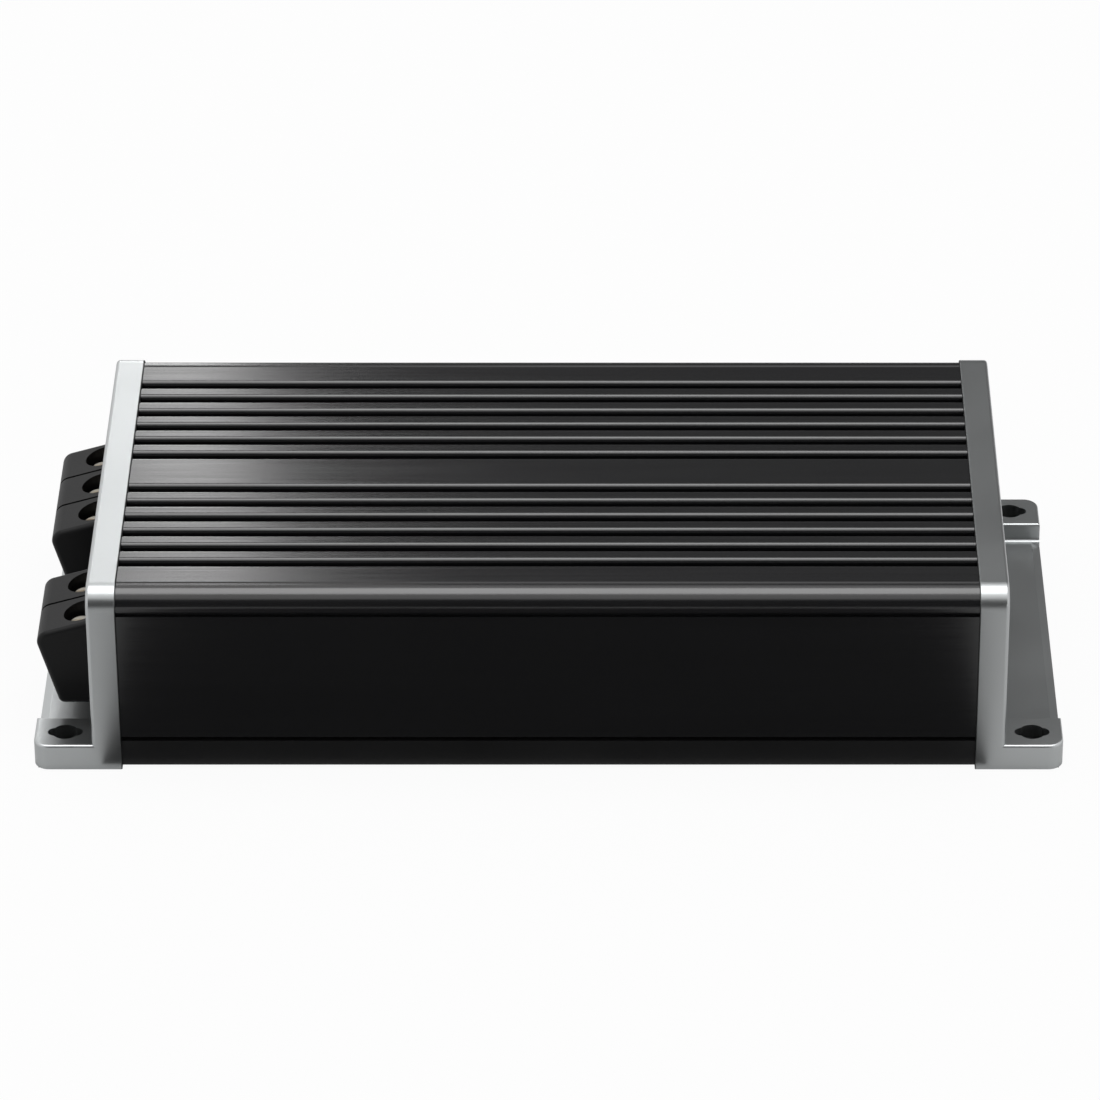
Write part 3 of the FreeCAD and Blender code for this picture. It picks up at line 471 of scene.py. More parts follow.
@dataclass(frozen=True)
class CircuitBoard:
    """Green solder mask over copper tracks."""

    mask: Colour = (0.012, 0.085, 0.030)
    track: Colour = (0.030, 0.150, 0.055)
    tracks_per_metre: float = 190.0

    def material(self) -> bpy.types.Material:
        """Tracks as the borders of square-cornered cells, raised under the mask.

        Returns:
            The finished material.
        """
        shader = Shader("circuit_board")
        cells = {"Vector": shader.place((self.tracks_per_metre,) * 3), "Scale": 1.0, "Randomness": 0.8}
        settings = {"feature": "F1", "distance": "CHEBYCHEV"}
        away = shader.node("ShaderNodeTexVoronoi", settings, cells)
        track = away.smoothed(0.36, 0.40) * (1 - away.smoothed(0.46, 0.50))
        shader.set(Base_Color=shader.blend(track, self.mask, self.track), Roughness=0.32 - track * 0.08)
        shader.bump(track, 0.00004)
        return shader.material


@dataclass(frozen=True)
class Sleeve:
    """Shrunk plastic sleeve of a capacitor, with a pale stripe and a bare metal top."""

    colour: Colour = (0.012, 0.013, 0.020)
    stripe: Colour = (0.42, 0.40, 0.34)
    top: Colour = (0.62, 0.62, 0.61)
    top_z: float = 0.0324
    stripe_x: float = -0.0664

    def material(self) -> bpy.types.Material:
        """The stripe lies on the side that faces -X.

        Returns:
            The finished material.
        """
        shader = Shader("capacitor_sleeve")
        along, _, up = shader.axes(shader.place())
        wrinkle = shader.noise((240.0, 240.0, 60.0), 2.0)
        bare = up.above(self.top_z)
        striped = 1 - (along + wrinkle * 0.0004).above(self.stripe_x)
        tone = shader.blend(striped, self.colour, self.stripe)
        shader.set(Base_Color=shader.blend(bare, tone, self.top), Metallic=bare, Roughness=0.30 + wrinkle * 0.16)
        shader.bump(wrinkle, 0.00006)
        return shader.material


@dataclass(frozen=True)
class Winding:
    """Enamelled copper wire wound round a ring in even turns."""

    name: str
    centre: tuple[float, float, float]
    turns: int
    colour: Colour = (0.62, 0.20, 0.065)
    wire_depth: float = 0.0005

    def material(self) -> bpy.types.Material:
        """Turns fanned round the ring's middle, each one rounded and glossy, with painted shade darkening the
        creases between turns.

        Returns:
            The finished material.
        """
        shader = Shader(self.name)
        along, across, _ = shader.axes(shader.place(centre=self.centre))
        turn = (across.bearing(along) * (self.turns / math.tau)).wrapped()
        crown = 1 - (turn - 0.5).absolute() * 2
        tint = shader.noise((500.0, 500.0, 500.0), 2.0)
        # painted shade: each turn's colour darkens towards the creases between neighbouring turns
        tone = shader.blend(crown.smoothed(0.0, 0.5), shade(self.colour, 0.18), self.colour)
        shader.set(Base_Color=tone, Metallic=0.85, Roughness=0.22 + tint * 0.16)
        shader.bump(crown ** 0.5, self.wire_depth)
        return shader.material


# ---------------------------------------------------------------- hand tools


class Axis(Enum):
    """The line that a round piece is turned about."""

    X = 0
    Y = 1
    Z = 2

    def turn(self) -> tuple[float, float, float]:
        """The rotation that lays a cylinder's length along this line."""
        return {Axis.X: (0, math.pi / 2, 0), Axis.Y: (-math.pi / 2, 0, 0), Axis.Z: (0, 0, 0)}[self]

    def arrow(self, length: float) -> Vector:
        """A step of this length along the line.

        Args:
            length: how long the step is.

        Returns:
            The step.
        """
        step = Vector((0, 0, 0))
        step[self.value] = length
        return step

    def squeeze(self, factor: float) -> tuple[float, float, float]:
        """Scale factors that change the radius alone.

        Args:
            factor: the change of the radius.

        Returns:
            A factor for each axis.
        """
        factors = [factor] * 3
        factors[self.value] = 1.0
        return tuple(factors)


@dataclass(frozen=True)
class Box:
    """Lowest and highest corner of a solid, in millimetres."""

    low: Vector
    high: Vector

    @property
    def middle(self) -> Vector:
        """Its centre."""
        return (self.low + self.high) / 2


def box_of(node: str) -> Box:
    """The box of a CAD node."""
    low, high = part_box(node)
    return Box(Vector(low) / MM, Vector(high) / MM)


def solids(node: str) -> list[Box]:
    """The box of each separate solid of a CAD node.

    Args:
        node: the CAD node.

    Returns:
        The boxes, ordered by their middles.
    """
    mesh = bmesh.new()
    mesh.from_mesh(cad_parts[node].data)
    bmesh.ops.remove_doubles(mesh, verts=mesh.verts, dist=MERGE_DISTANCE)
    waiting, boxes = set(mesh.verts), []
    while waiting:
        frontier, group = [waiting.pop()], []
        while frontier:
            vertex = frontier.pop()
            group.append(vertex.co / MM)
            near = {link.other_vert(vertex) for link in vertex.link_edges} & waiting
            waiting -= near
            frontier.extend(near)
        low, high = (Vector(pick(point[axis] for point in group) for axis in range(3)) for pick in (min, max))
        boxes.append(Box(low, high))
    mesh.free()
    return sorted(boxes, key=lambda box: tuple(round(part, 2) for part in box.middle))


class Bench:
    """One piece in hand, measured in millimetres and worked with hand tools."""

    def __init__(self, name: str) -> None:
        """Clears the bench for a piece.

        Args:
            name: the piece's name.
        """
        self.name = name
        self.piece: Any = None

    def hold(self, *others: "Bench") -> None:
        """Selects this piece, and others with it, and nothing else.

        Args:
            others: pieces selected as well.
        """
        bpy.ops.object.select_all(action="DESELECT")
        for bench in (self, *others):
            bench.piece.select_set(True)
        bpy.context.view_layer.objects.active = self.piece

    def _take(self) -> "Bench":
        """Keeps the primitive just added, with its place put into its mesh.

        Returns:
            This bench.
        """
        self.piece = bpy.context.object
        self.piece.name = self.name
        bpy.ops.object.transform_apply(location=True, rotation=True, scale=True)
        return self

    def slab(self, axis: Axis, centre: Vector, first: float, last: float, radius: float, sides: int) -> "Bench":
        """Starts from a round slab between two places along an axis.

        Args:
            axis: the line it is round about.
            centre: a point on that line.
            first: where it starts along the axis.
            last: where it ends.
            radius: its radius.
            sides: how many flats make the round.

        Returns:
            This bench.
        """
        bpy.ops.object.select_all(action="DESELECT")
        middle = Vector(centre)
        middle[axis.value] = (first + last) / 2
        bpy.ops.mesh.primitive_cylinder_add(vertices=sides, radius=radius * MM, depth=abs(last - first) * MM,
                                            location=middle * MM, rotation=axis.turn())
        return self._take()

    def block(self, low: Sequence[float], high: Sequence[float]) -> "Bench":
        """Starts from a block between two corners.

        Args:
            low: its lowest corner.
            high: its highest corner.

        Returns:
            This bench.
        """
        bpy.ops.object.select_all(action="DESELECT")
        size = [(b - a) * MM for a, b in zip(low, high)]
        middle = [(a + b) / 2 * MM for a, b in zip(low, high)]
        bpy.ops.mesh.primitive_cube_add(size=1.0, location=middle, scale=size)
        return self._take()

    def pick(self, wanted: Callable[[Vector, Vector], bool]) -> "Bench":
        """Opens the piece for editing with some faces selected.

        Args:
            wanted: tells from a face's middle in millimetres and its normal whether it is selected.

        Returns:
            This bench.
        """
        self.hold()
        bpy.ops.object.mode_set(mode="EDIT")
        bpy.ops.mesh.select_mode(type="FACE")
        bpy.ops.mesh.select_all(action="DESELECT")
        mesh = bmesh.from_edit_mesh(self.piece.data)
        for face in mesh.faces:
            face.select_set(wanted(face.calc_center_median() / MM, face.normal))
        bmesh.update_edit_mesh(self.piece.data)
        return self

    def close(self) -> "Bench":
        """Ends editing."""
        bpy.ops.object.mode_set(mode="OBJECT")
        return self

    def turned(self, axis: Axis, centre: Vector, profile: Profile, sides: int = 32) -> "Bench":
        """Makes a round piece: a slab whose last face is drawn out ring after ring.

        Args:
            axis: the line it is turned about.
            centre: a point on that line.
            profile: place along the axis and radius of each ring.
            sides: how many flats make the round.

        Returns:
            This bench.
        """
        (first, start), (second, after) = profile[:2]
        outward = math.copysign(1.0, second - first)
        self.slab(axis, centre, first, second, start, sides)
        self.pick(lambda place, normal: normal[axis.value] * outward > FACES_THAT_WAY)
        pivot = Vector(centre) * MM
        bpy.ops.transform.resize(value=axis.squeeze(after / start), center_override=pivot)
        for (here, radius), (there, wider) in zip(profile[1:], profile[2:]):
            step = {"value": axis.arrow((there - here) * MM)}
            bpy.ops.mesh.extrude_region_move(TRANSFORM_OT_translate=step)
            bpy.ops.transform.resize(value=axis.squeeze(wider / radius), center_override=pivot)
        return self.close()

    def shaped(self, kind: str, **settings: Any) -> "Bench":
        """Adds a modifier with these settings and applies it.

        Args:
            kind: the modifier's type.
            settings: its attributes.

        Returns:
            This bench.
        """
        self.hold()
        modifier = self.piece.modifiers.new(kind.lower(), kind)
        for key, value in settings.items():
            setattr(modifier, key, value)
        bpy.ops.object.modifier_apply(modifier=modifier.name)
        return self

    def bevelled(self, width: float) -> "Bench":
        """Rounds the sharp edges."""
        return self.shaped("BEVEL", width=width * MM, segments=2, limit_method="ANGLE",
                           angle_limit=math.radians(BEVEL_ANGLE_DEG))

    def cut(self, *tools: "Bench") -> "Bench":
        """Takes the tools' shapes out of this piece.

        Args:
            tools: the pieces to take out; each is used up.

        Returns:
            This bench.
        """
        for tool in tools:
            self.shaped("BOOLEAN", operation="DIFFERENCE", solver="EXACT", object=tool.piece)
            bpy.data.objects.remove(tool.piece)
        return self

    def copied(self, name: str, move: Sequence[float]) -> "Bench":
        """Makes a second piece with its own mesh.

        Args:
            name: the new piece's name.
            move: how far it lies from this one.

        Returns:
            The new piece.
        """
        twin = Bench(name)
        twin.piece = self.piece.copy()
        twin.piece.name = name
        twin.piece.data = self.piece.data.copy()
        twin.piece.data.transform(Matrix.Translation(Vector(move) * MM))
        bpy.context.scene.collection.objects.link(twin.piece)
        return twin

    def joined(self, *others: "Bench") -> "Bench":
        """This piece with others joined to it.

        Args:
            others: the pieces to join; each is used up.

        Returns:
            This bench.
        """
        if others:
            self.hold(*others)
            bpy.ops.object.join()
        return self

    def painted(self, paint: bpy.types.Material, wanted: Callable[[Vector, Vector], bool]) -> "Bench":
        """Fills some faces with a paint, kept as the piece's second material.

        Args:
            paint: the paint.
            wanted: tells from a face's middle in millimetres and its normal whether it is painted.

        Returns:
            This bench.
        """
        self.piece.data.materials.clear()
        self.piece.data.materials.append(paint)
        self.piece.data.materials.append(paint)
        for face in self.piece.data.polygons:
            face.material_index = int(wanted(face.center / MM, face.normal))
        return self

    def fit(self, material: bpy.types.Material, body: str, slot: str, *nodes: str) -> None:
        """Dresses the piece and puts it on its body.

        Args:
            material: its finish.
            body: the body that it rides on.
            slot: the material slot that the finish belongs to; not used.
            nodes: the CAD nodes that it stands for.
        """
        self.hold()
        if self.piece.data.materials:
            self.piece.data.materials[0] = material
        else:
            self.piece.data.materials.append(material)
        bpy.ops.object.shade_smooth_by_angle(angle=math.radians(SMOOTH_ANGLE_DEG))
        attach(self.piece, body)
        if nodes:
            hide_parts(*nodes)
        LOG.info("%s: %d faces on %s", self.name, len(self.piece.data.polygons), body)


def dress(material: bpy.types.Material, *nodes: str) -> None:
    """Gives CAD nodes their finish.

    Args:
        material: the finish.
        nodes: the CAD nodes.
    """
    for node in nodes:
        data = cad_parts[node].data
        data.materials.clear()
        data.materials.append(material)
        LOG.info("%s: %s", node, material.name)


# ---------------------------------------------------------------- sub-assemblies


@dataclass
class Housing:
    """The extruded case, its tray, the end caps and the panels in their windows."""

    panel_black: Colour = (0.010, 0.010, 0.011)
    tray_black: Colour = (0.0075, 0.0075, 0.008)

    def build(self) -> None:
        """Dresses the shells, whose CAD shapes are right."""
        dress(BrushedAnodising().material(), "heatsink_shell")
        dress(SatinCasting().material(), "left_end_cap", "right_end_cap")
        dress(CoatedSheet("tray_black", self.tray_black).material(), "base_tray")
        dress(CoatedSheet("panel_black", self.panel_black).material(), "terminal_panel")
        dress(DialPrint("printed_panel", self.panel_black, centres=self.dials()).material(), "control_panel")

    def dials(self) -> tuple[tuple[float, float], ...]:
        """Where the knobs' lines meet the panel, in metres."""
        middles = [box_of(knob).middle * MM for knob in KNOBS]
        return tuple((middle.y, middle.z) for middle in middles)


class Head(Enum):
    """How a socket screw's head is shaped."""

    BUTTON = "button"
    COUNTERSUNK = "countersunk"
    PAN = "pan"


@dataclass
class SocketScrews:
    """Screws with a hexagon socket: one is modelled, and the others are copies of it."""

    node: str
    slot: str
    axis: Axis
    outward: int
    head: Head
    head_radius: float
    head_height: float
    shank_radius: float = 1.4
    pitch: float = 0.8
    thread_depth: float = 0.22
    socket_radius: float = 1.3
    socket_depth: float = 1.1

    def build(self, material: bpy.types.Material) -> None:
        """Models the screw on the first solid and copies it to the others.

        Args:
            material: their finish.
        """
        places = solids(self.node)
        first = self.screw(places[0])
        copies = [first.copied(self.node, box.middle - places[0].middle) for box in places[1:]]
        first.joined(*copies).fit(material, CASE, self.slot, self.node)

    def screw(self, box: Box) -> Bench:
        """One screw, from its tip to its head, with the socket cut.

        Args:
            box: the box of the CAD solid that it stands for.

        Returns:
            The screw.
        """
        number, way = self.axis.value, self.outward
        tip, top = (box.low, box.high) if way > 0 else (box.high, box.low)
        rings = self.thread(abs(top[number] - tip[number])) + self.crown()
        profile = [(top[number] - way * depth, radius) for depth, radius in rings]
        piece = Bench(self.node + "_modelled").turned(self.axis, box.middle, profile)
        end = top[number]
        socket = Bench("socket").slab(self.axis, box.middle, end - way * self.socket_depth, end + way,
                                      self.socket_radius, SOCKET_SIDES)
        return piece.cut(socket)

    def thread(self, length: float) -> list[tuple[float, float]]:
        """Rings of the threaded shank, as depth below the head's top and radius.

        Args:
            length: the screw's whole length.

        Returns:
            The rings, from the tip up.
        """
        root = self.shank_radius - self.thread_depth
        turns = int((length - self.head_height - self.pitch) / self.pitch)
        rings = [(length, root * 0.8), (length - self.pitch * 0.4, root)]
        for k in range(turns):
            start = length - self.pitch * (k + 0.5)
            rings += [(start - self.pitch * 0.35, self.shank_radius),
                      (start - self.pitch * 0.5, self.shank_radius), (start - self.pitch * 0.85, root)]
        return rings + [(self.head_height, root)]

    def crown(self) -> list[tuple[float, float]]:
        """Rings of the head, as depth below its top and radius.

        Returns:
            The rings, from the seat up.
        """
        wide, tall = self.head_radius, self.head_height
        if self.head is Head.COUNTERSUNK:
            return [(0.12, wide), (0.0, wide - 0.06)]
        if self.head is Head.PAN:
            return [(tall, wide - 0.1), (tall - 0.1, wide), (tall * 0.45, wide), (tall * 0.15, wide * 0.86),
                    (0.0, wide * 0.66)]
        return [(tall, wide - 0.08), (tall - 0.08, wide), (0.4, wide), (0.12, wide - 0.12), (0.0, wide - 0.4)]


@dataclass
class WireTerminals:
    """The wire clamps at the left end: mouldings, rising cages, bars and captive screws."""

    head_radius: float = 2.5
    head_height: float = 2.0
    rim: float = 0.42
    slot_width: float = 0.9
    slot_depth: float = 1.0
    shank_radius: float = 2.0
    pitch: float = 0.7
    thread_depth: float = 0.24
    tip: float = 0.3
    neck: float = 0.6

    def build(self) -> None:
        """Dresses the CAD mouldings and metal, and models the screws."""
        moulding = Moulding("terminal_black", (0.0045, 0.0045, 0.0048), 0.42, 0.20).material()
        copper = Metal("copper_bar", (0.80, 0.50, 0.32), 0.28).material()
        steel = Metal("cage_steel", (0.60, 0.60, 0.58), 0.30).material()
        screw = Metal("terminal_screw", (0.88, 0.83, 0.74), 0.40, 0.45, (500.0, 500.0, 2200.0)).material()
        dress(moulding, "speaker_terminal_housing", "power_terminal_housing")
        dress(copper, "speaker_contact_bars", "power_contact_bars")
        dress(steel, *(node.replace("screw", "cage") for node in CLAMPS))
        first = self.clamp_screw(box_of(CLAMPS[0]))
        for node in CLAMPS[1:]:
            move = box_of(node).middle - box_of(CLAMPS[0]).middle
            first.copied(node + "_modelled", move).fit(screw, node, "terminal_screw", node)
        first.fit(screw, CLAMPS[0], "terminal_screw", CLAMPS[0])

    def clamp_screw(self, box: Box) -> Bench:
        """One captive screw: thread, neck, domed head and driver slot.

        Args:
            box: the box of the CAD solid that it stands for.

        Returns:
            The screw.
        """
        top, root = box.high.z, self.shank_radius - self.thread_depth
        seat = top - self.head_height
        start = box.low.z + self.tip
        rings = [(box.low.z, root * 0.8), (start, root)]
        while start + self.pitch < seat - self.neck:
            rings += [(start + self.pitch * 0.4, self.shank_radius),
                      (start + self.pitch * 0.55, self.shank_radius), (start + self.pitch, root)]
            start += self.pitch
        rings += [(seat, root), (seat, self.head_radius - 0.1), (seat + 0.15, self.head_radius),
                  (top - self.rim * 2, self.head_radius), (top - self.rim * 1.3, self.head_radius - 0.15),
                  (top - self.rim * 0.7, self.head_radius - 0.5), (top - self.rim * 0.3, self.head_radius - 1.0),
                  (top, self.head_radius - 1.9)]
        piece = Bench(CLAMPS[0] + "_modelled").turned(Axis.Z, box.middle, rings, FINE_SIDES)
        half = self.slot_width / 2
        low = (box.middle.x - self.head_radius - 1, box.middle.y - half, top - self.slot_depth)
        high = (box.middle.x + self.head_radius + 1, box.middle.y + half, top + 1)
        return piece.cut(Bench("slot").block(low, high))


@dataclass
class Controls:
    """The control end: knobs, switch nubs, set-up button, lamps, sockets and the parts behind the panel."""

    knob_thickness: float = 3.0
    shaft_radius: float = 1.5
    grip_depth: float = 0.22
    grip_land: float = 0.06
    grip_start: float = 0.6
    grip_end: float = 0.45
    grips: int = 48
    pointer_width: float = 0.9
    pointer_depth: float = 0.45
    nub_grooves: int = 3
    nub_groove_width: float = 0.24
    nub_groove_depth: float = 0.25
    nub_edge: float = 0.18
    stem_radius: float = 1.2
    stem_length: float = 2.55
    lamp_rings: int = 9
    dish_depth: float = 0.25

    def build(self) -> None:
        """Models what turns, slides and presses, and dresses the rest."""
        self.knobs()
        pressed = Moulding("button_grey", (0.075, 0.075, 0.078), 0.44, 0.5).material()
        self.nubs(pressed)
        self.button(pressed)
        self.lamps()
        self.sockets()

    def knobs(self) -> None:
        """Three fluted knobs with a pointer slot, each on its own shaft."""
        material = Moulding("knob_black", (0.016, 0.016, 0.017), 0.38, 0.5).material()
        home = box_of(KNOBS[0])
        first = self.knob(home)
        for name in KNOBS[1:]:
            move = box_of(name).middle - home.middle
            first.copied(name + "_modelled", move).fit(material, name, "knob_black", name)
        first.fit(material, KNOBS[0], "knob_black", KNOBS[0])

    def knob(self, box: Box) -> Bench:
        """One knob: its shaft, skirt, grip flutes, rounded rim and pointer slot.

        Args:
            box: the box of the CAD solid that it stands for.

        Returns:
            The knob.
        """
        radius, front = (box.high.z - box.low.z) / 2, box.high.x
        back = front - self.knob_thickness
        rings = [(box.low.x, self.shaft_radius * 0.9), (box.low.x + 0.2, self.shaft_radius),
                 (back, self.shaft_radius), (back, radius - 0.25), (back + 0.25, radius),
                 (back + self.grip_start, radius), (front - self.grip_end, radius - 0.1),
                 (front - 0.12, radius - 0.3), (front, radius - 0.65), (front, radius - 1.1),
                 (front - 0.2, radius - 1.3)]
        piece = Bench("gain_knob_modelled").turned(Axis.X, box.middle, rings, self.grips)
        step, grip = math.tau / self.grips, (back + self.grip_start, front - self.grip_end)

        def fluted(place: Vector, normal: Vector) -> bool:
            """Every other flat of the grip, which lies round the knob's line."""
            flat = round(math.atan2(place.z - box.middle.z, place.y - box.middle.y) / step - 0.5)
            return grip[0] < place.x < grip[1] and abs(normal.x) < FACES_ASIDE and int(flat) % 2 == 0

        piece.pick(fluted)
        bpy.ops.mesh.inset(thickness=self.grip_land * MM, depth=-self.grip_depth * MM, use_individual=True)
        piece.close()
        half = self.pointer_width / 2
        low = (front - self.pointer_depth, box.middle.y - half, box.middle.z + 0.4)
        high = (front + 1, box.middle.y + half, box.middle.z + radius + 1)
        piece.cut(Bench("pointer").block(low, high))
        paint = Moulding("pointer_paint", (0.70, 0.70, 0.68), 0.5, 0.5).material()
        floor = front - self.pointer_depth

        def in_slot(place: Vector, normal: Vector) -> bool:
            """The floor of the slot."""
            on_line = abs(place.y - box.middle.y) < half and place.z > box.middle.z
            return on_line and abs(place.x - floor) < 0.05 and normal.x > FACES_THAT_WAY

        return piece.painted(paint, in_slot)

    def nubs(self, material: bpy.types.Material) -> None:
        """Two slide switch nubs with finger grooves.

        Args:
            material: their finish.
        """
        for name in ("input_range_slider", "auto_start_slider"):
            box = box_of(name)
            piece = Bench(name + "_modelled").block(box.low, box.high).bevelled(self.nub_edge)
            span = box.high.y - box.low.y
            for k in range(self.nub_grooves):
                y = box.low.y + span * (k + 1) / (self.nub_grooves + 1)
                low = (box.high.x - self.nub_groove_depth, y - self.nub_groove_width / 2, box.low.z - 1)
                high = (box.high.x + 1, y + self.nub_groove_width / 2, box.high.z + 1)
                piece.cut(Bench("groove").block(low, high))
            piece.fit(material, name, "button_grey", name)

    def button(self, material: bpy.types.Material) -> None:
        """The set-up button, with its stem and a dished face.

        Args:
            material: its finish.
        """
        box = box_of("setup_button")
        radius, front = (box.high.z - box.low.z) / 2, box.high.x
        stem, shoulder = self.stem_radius, box.low.x + self.stem_length
        rings = [(box.low.x, stem - 0.1), (box.low.x + 0.15, stem), (shoulder, stem), (shoulder, radius - 0.1),
                 (shoulder + 0.1, radius), (front - 0.4, radius), (front - 0.1, radius - 0.14),
                 (front, radius - 0.45), (front - self.dish_depth * 0.6, radius * 0.55),
                 (front - self.dish_depth, radius * 0.25)]
        piece = Bench("setup_button_modelled").turned(Axis.X, box.middle, rings, FINE_SIDES)
        piece.fit(material, "setup_button", "button_grey", "setup_button")

    def lamps(self) -> None:
        """Two domed status lamps."""
        places = solids("status_leds")
        radius, front = (places[0].high.z - places[0].low.z) / 2, places[0].high.x
        rings = [(places[0].low.x, radius - 0.1), (places[0].low.x + 0.1, radius)]
        for k in range(self.lamp_rings):
            angle = math.radians(90 * k / self.lamp_rings)
            rings.append((front - radius + radius * math.sin(angle), radius * math.cos(angle)))
        first = Bench("status_leds_modelled").turned(Axis.X, places[0].middle, rings)
        copies = [first.copied("lamp", box.middle - places[0].middle) for box in places[1:]]
        first.joined(*copies).fit(Lens().material(), CASE, "lamp_lens", "status_leds")

    def sockets(self) -> None:
        """Finishes of the sockets, their contacts and the parts on the upright board."""
        plastic = Moulding("socket_black", (0.013, 0.013, 0.014), 0.40, 0.45).material()
        pins = Metal("pin_metal", (0.83, 0.69, 0.38), 0.22).material()
        body = Moulding("control_body", (0.11, 0.11, 0.115), 0.45, 0.5).material()
        dress(plastic, "input_header", "remote_jack")
        dress(pins, "input_header_pins", "remote_jack_contacts")
        dress(body, "level_pots", "slide_switch_bodies", "tact_switch")


@dataclass
class PowerBoard:
    """What the case holds: the boards, the supply, the output filter and the clamped transistors."""

    crimp_height: float = 2.6
    crimp_depth: float = 0.45
    score_half_width: float = 0.18
    score_depth: float = 0.55
    turns_of_supply: int = 46
    turns_of_filter: int = 34

    def build(self) -> None:
        """Models the capacitors and dresses the rest."""
        dark = Moulding("transistor_black", (0.014, 0.014, 0.015), 0.5, 0.4).material()
        ferrite = Moulding("ferrite", (0.035, 0.033, 0.032), 0.62, 0.4, 1500.0, 0.00002).material()
        steel = Metal("clamp_steel", (0.50, 0.51, 0.52), 0.32, 1.0, (60.0, 1500.0, 1500.0)).material()
        dress(CircuitBoard().material(), "main_board", "control_board")
        dress(dark, "power_transistors", "signal_chips")
        dress(ferrite, "transformer_core", "inductor_core")
        for kind, turns in (("transformer", self.turns_of_supply), ("inductor", self.turns_of_filter)):
            centre = tuple(box_of(kind + "_core").middle * MM)
            dress(Winding(kind + "_wire", centre, turns).material(), kind + "_winding")
        dress(Moulding("insulator", (0.36, 0.30, 0.19), 0.5, 0.5, 2600.0).material(), "insulator_sheet")
        dress(Moulding("film_box", (0.30, 0.035, 0.025), 0.35, 0.5).material(), "film_capacitor")
        dress(Moulding("pad_grey", (0.32, 0.33, 0.35), 0.7, 0.3, 5000.0).material(), "thermal_pads")
        dress(steel, "clamp_bars")
        self.capacitors()

    def capacitors(self) -> None:
        """Four tall cans, each with a crimp near its foot, a rolled shoulder and a scored top."""
        places = solids("bulk_capacitors")
        box = places[0]
        low, top, radius = box.low.z, box.high.z, (box.high.x - box.low.x) / 2
        waist = radius - self.crimp_depth
        rings = [(low, radius - 0.3), (low + 0.3, radius), (low + self.crimp_height - 0.7, radius),
                 (low + self.crimp_height, waist), (low + self.crimp_height + 0.7, radius), (top - 0.6, radius),
                 (top - 0.15, radius - 0.2), (top, radius - 0.6), (top, radius - 1.0), (top - 0.3, radius - 1.1)]
        first = Bench("bulk_capacitors_modelled").turned(Axis.Z, box.middle, rings, FINE_SIDES)
        reach, half, foot = radius * 0.6, self.score_half_width, box.middle.xy.to_3d()
        for x, y in ((reach, half), (half, reach)):
            low_corner = foot + Vector((-x, -y, top - self.score_depth))
            high_corner = foot + Vector((x, y, top + 1))
            first.cut(Bench("score").block(low_corner, high_corner))
        copies = [first.copied("can", other.middle - box.middle) for other in places[1:]]
        first.joined(*copies).fit(Sleeve().material(), CASE, "capacitor_sleeve", "bulk_capacitors")


# ---------------------------------------------------------------- studio


@dataclass(frozen=True)
class Card:
    """A sheet of one grey level that shapes reflections."""

    name: str
    place: tuple[float, float, float]
    size: tuple[float, float]
    level: float
    upright: bool = True


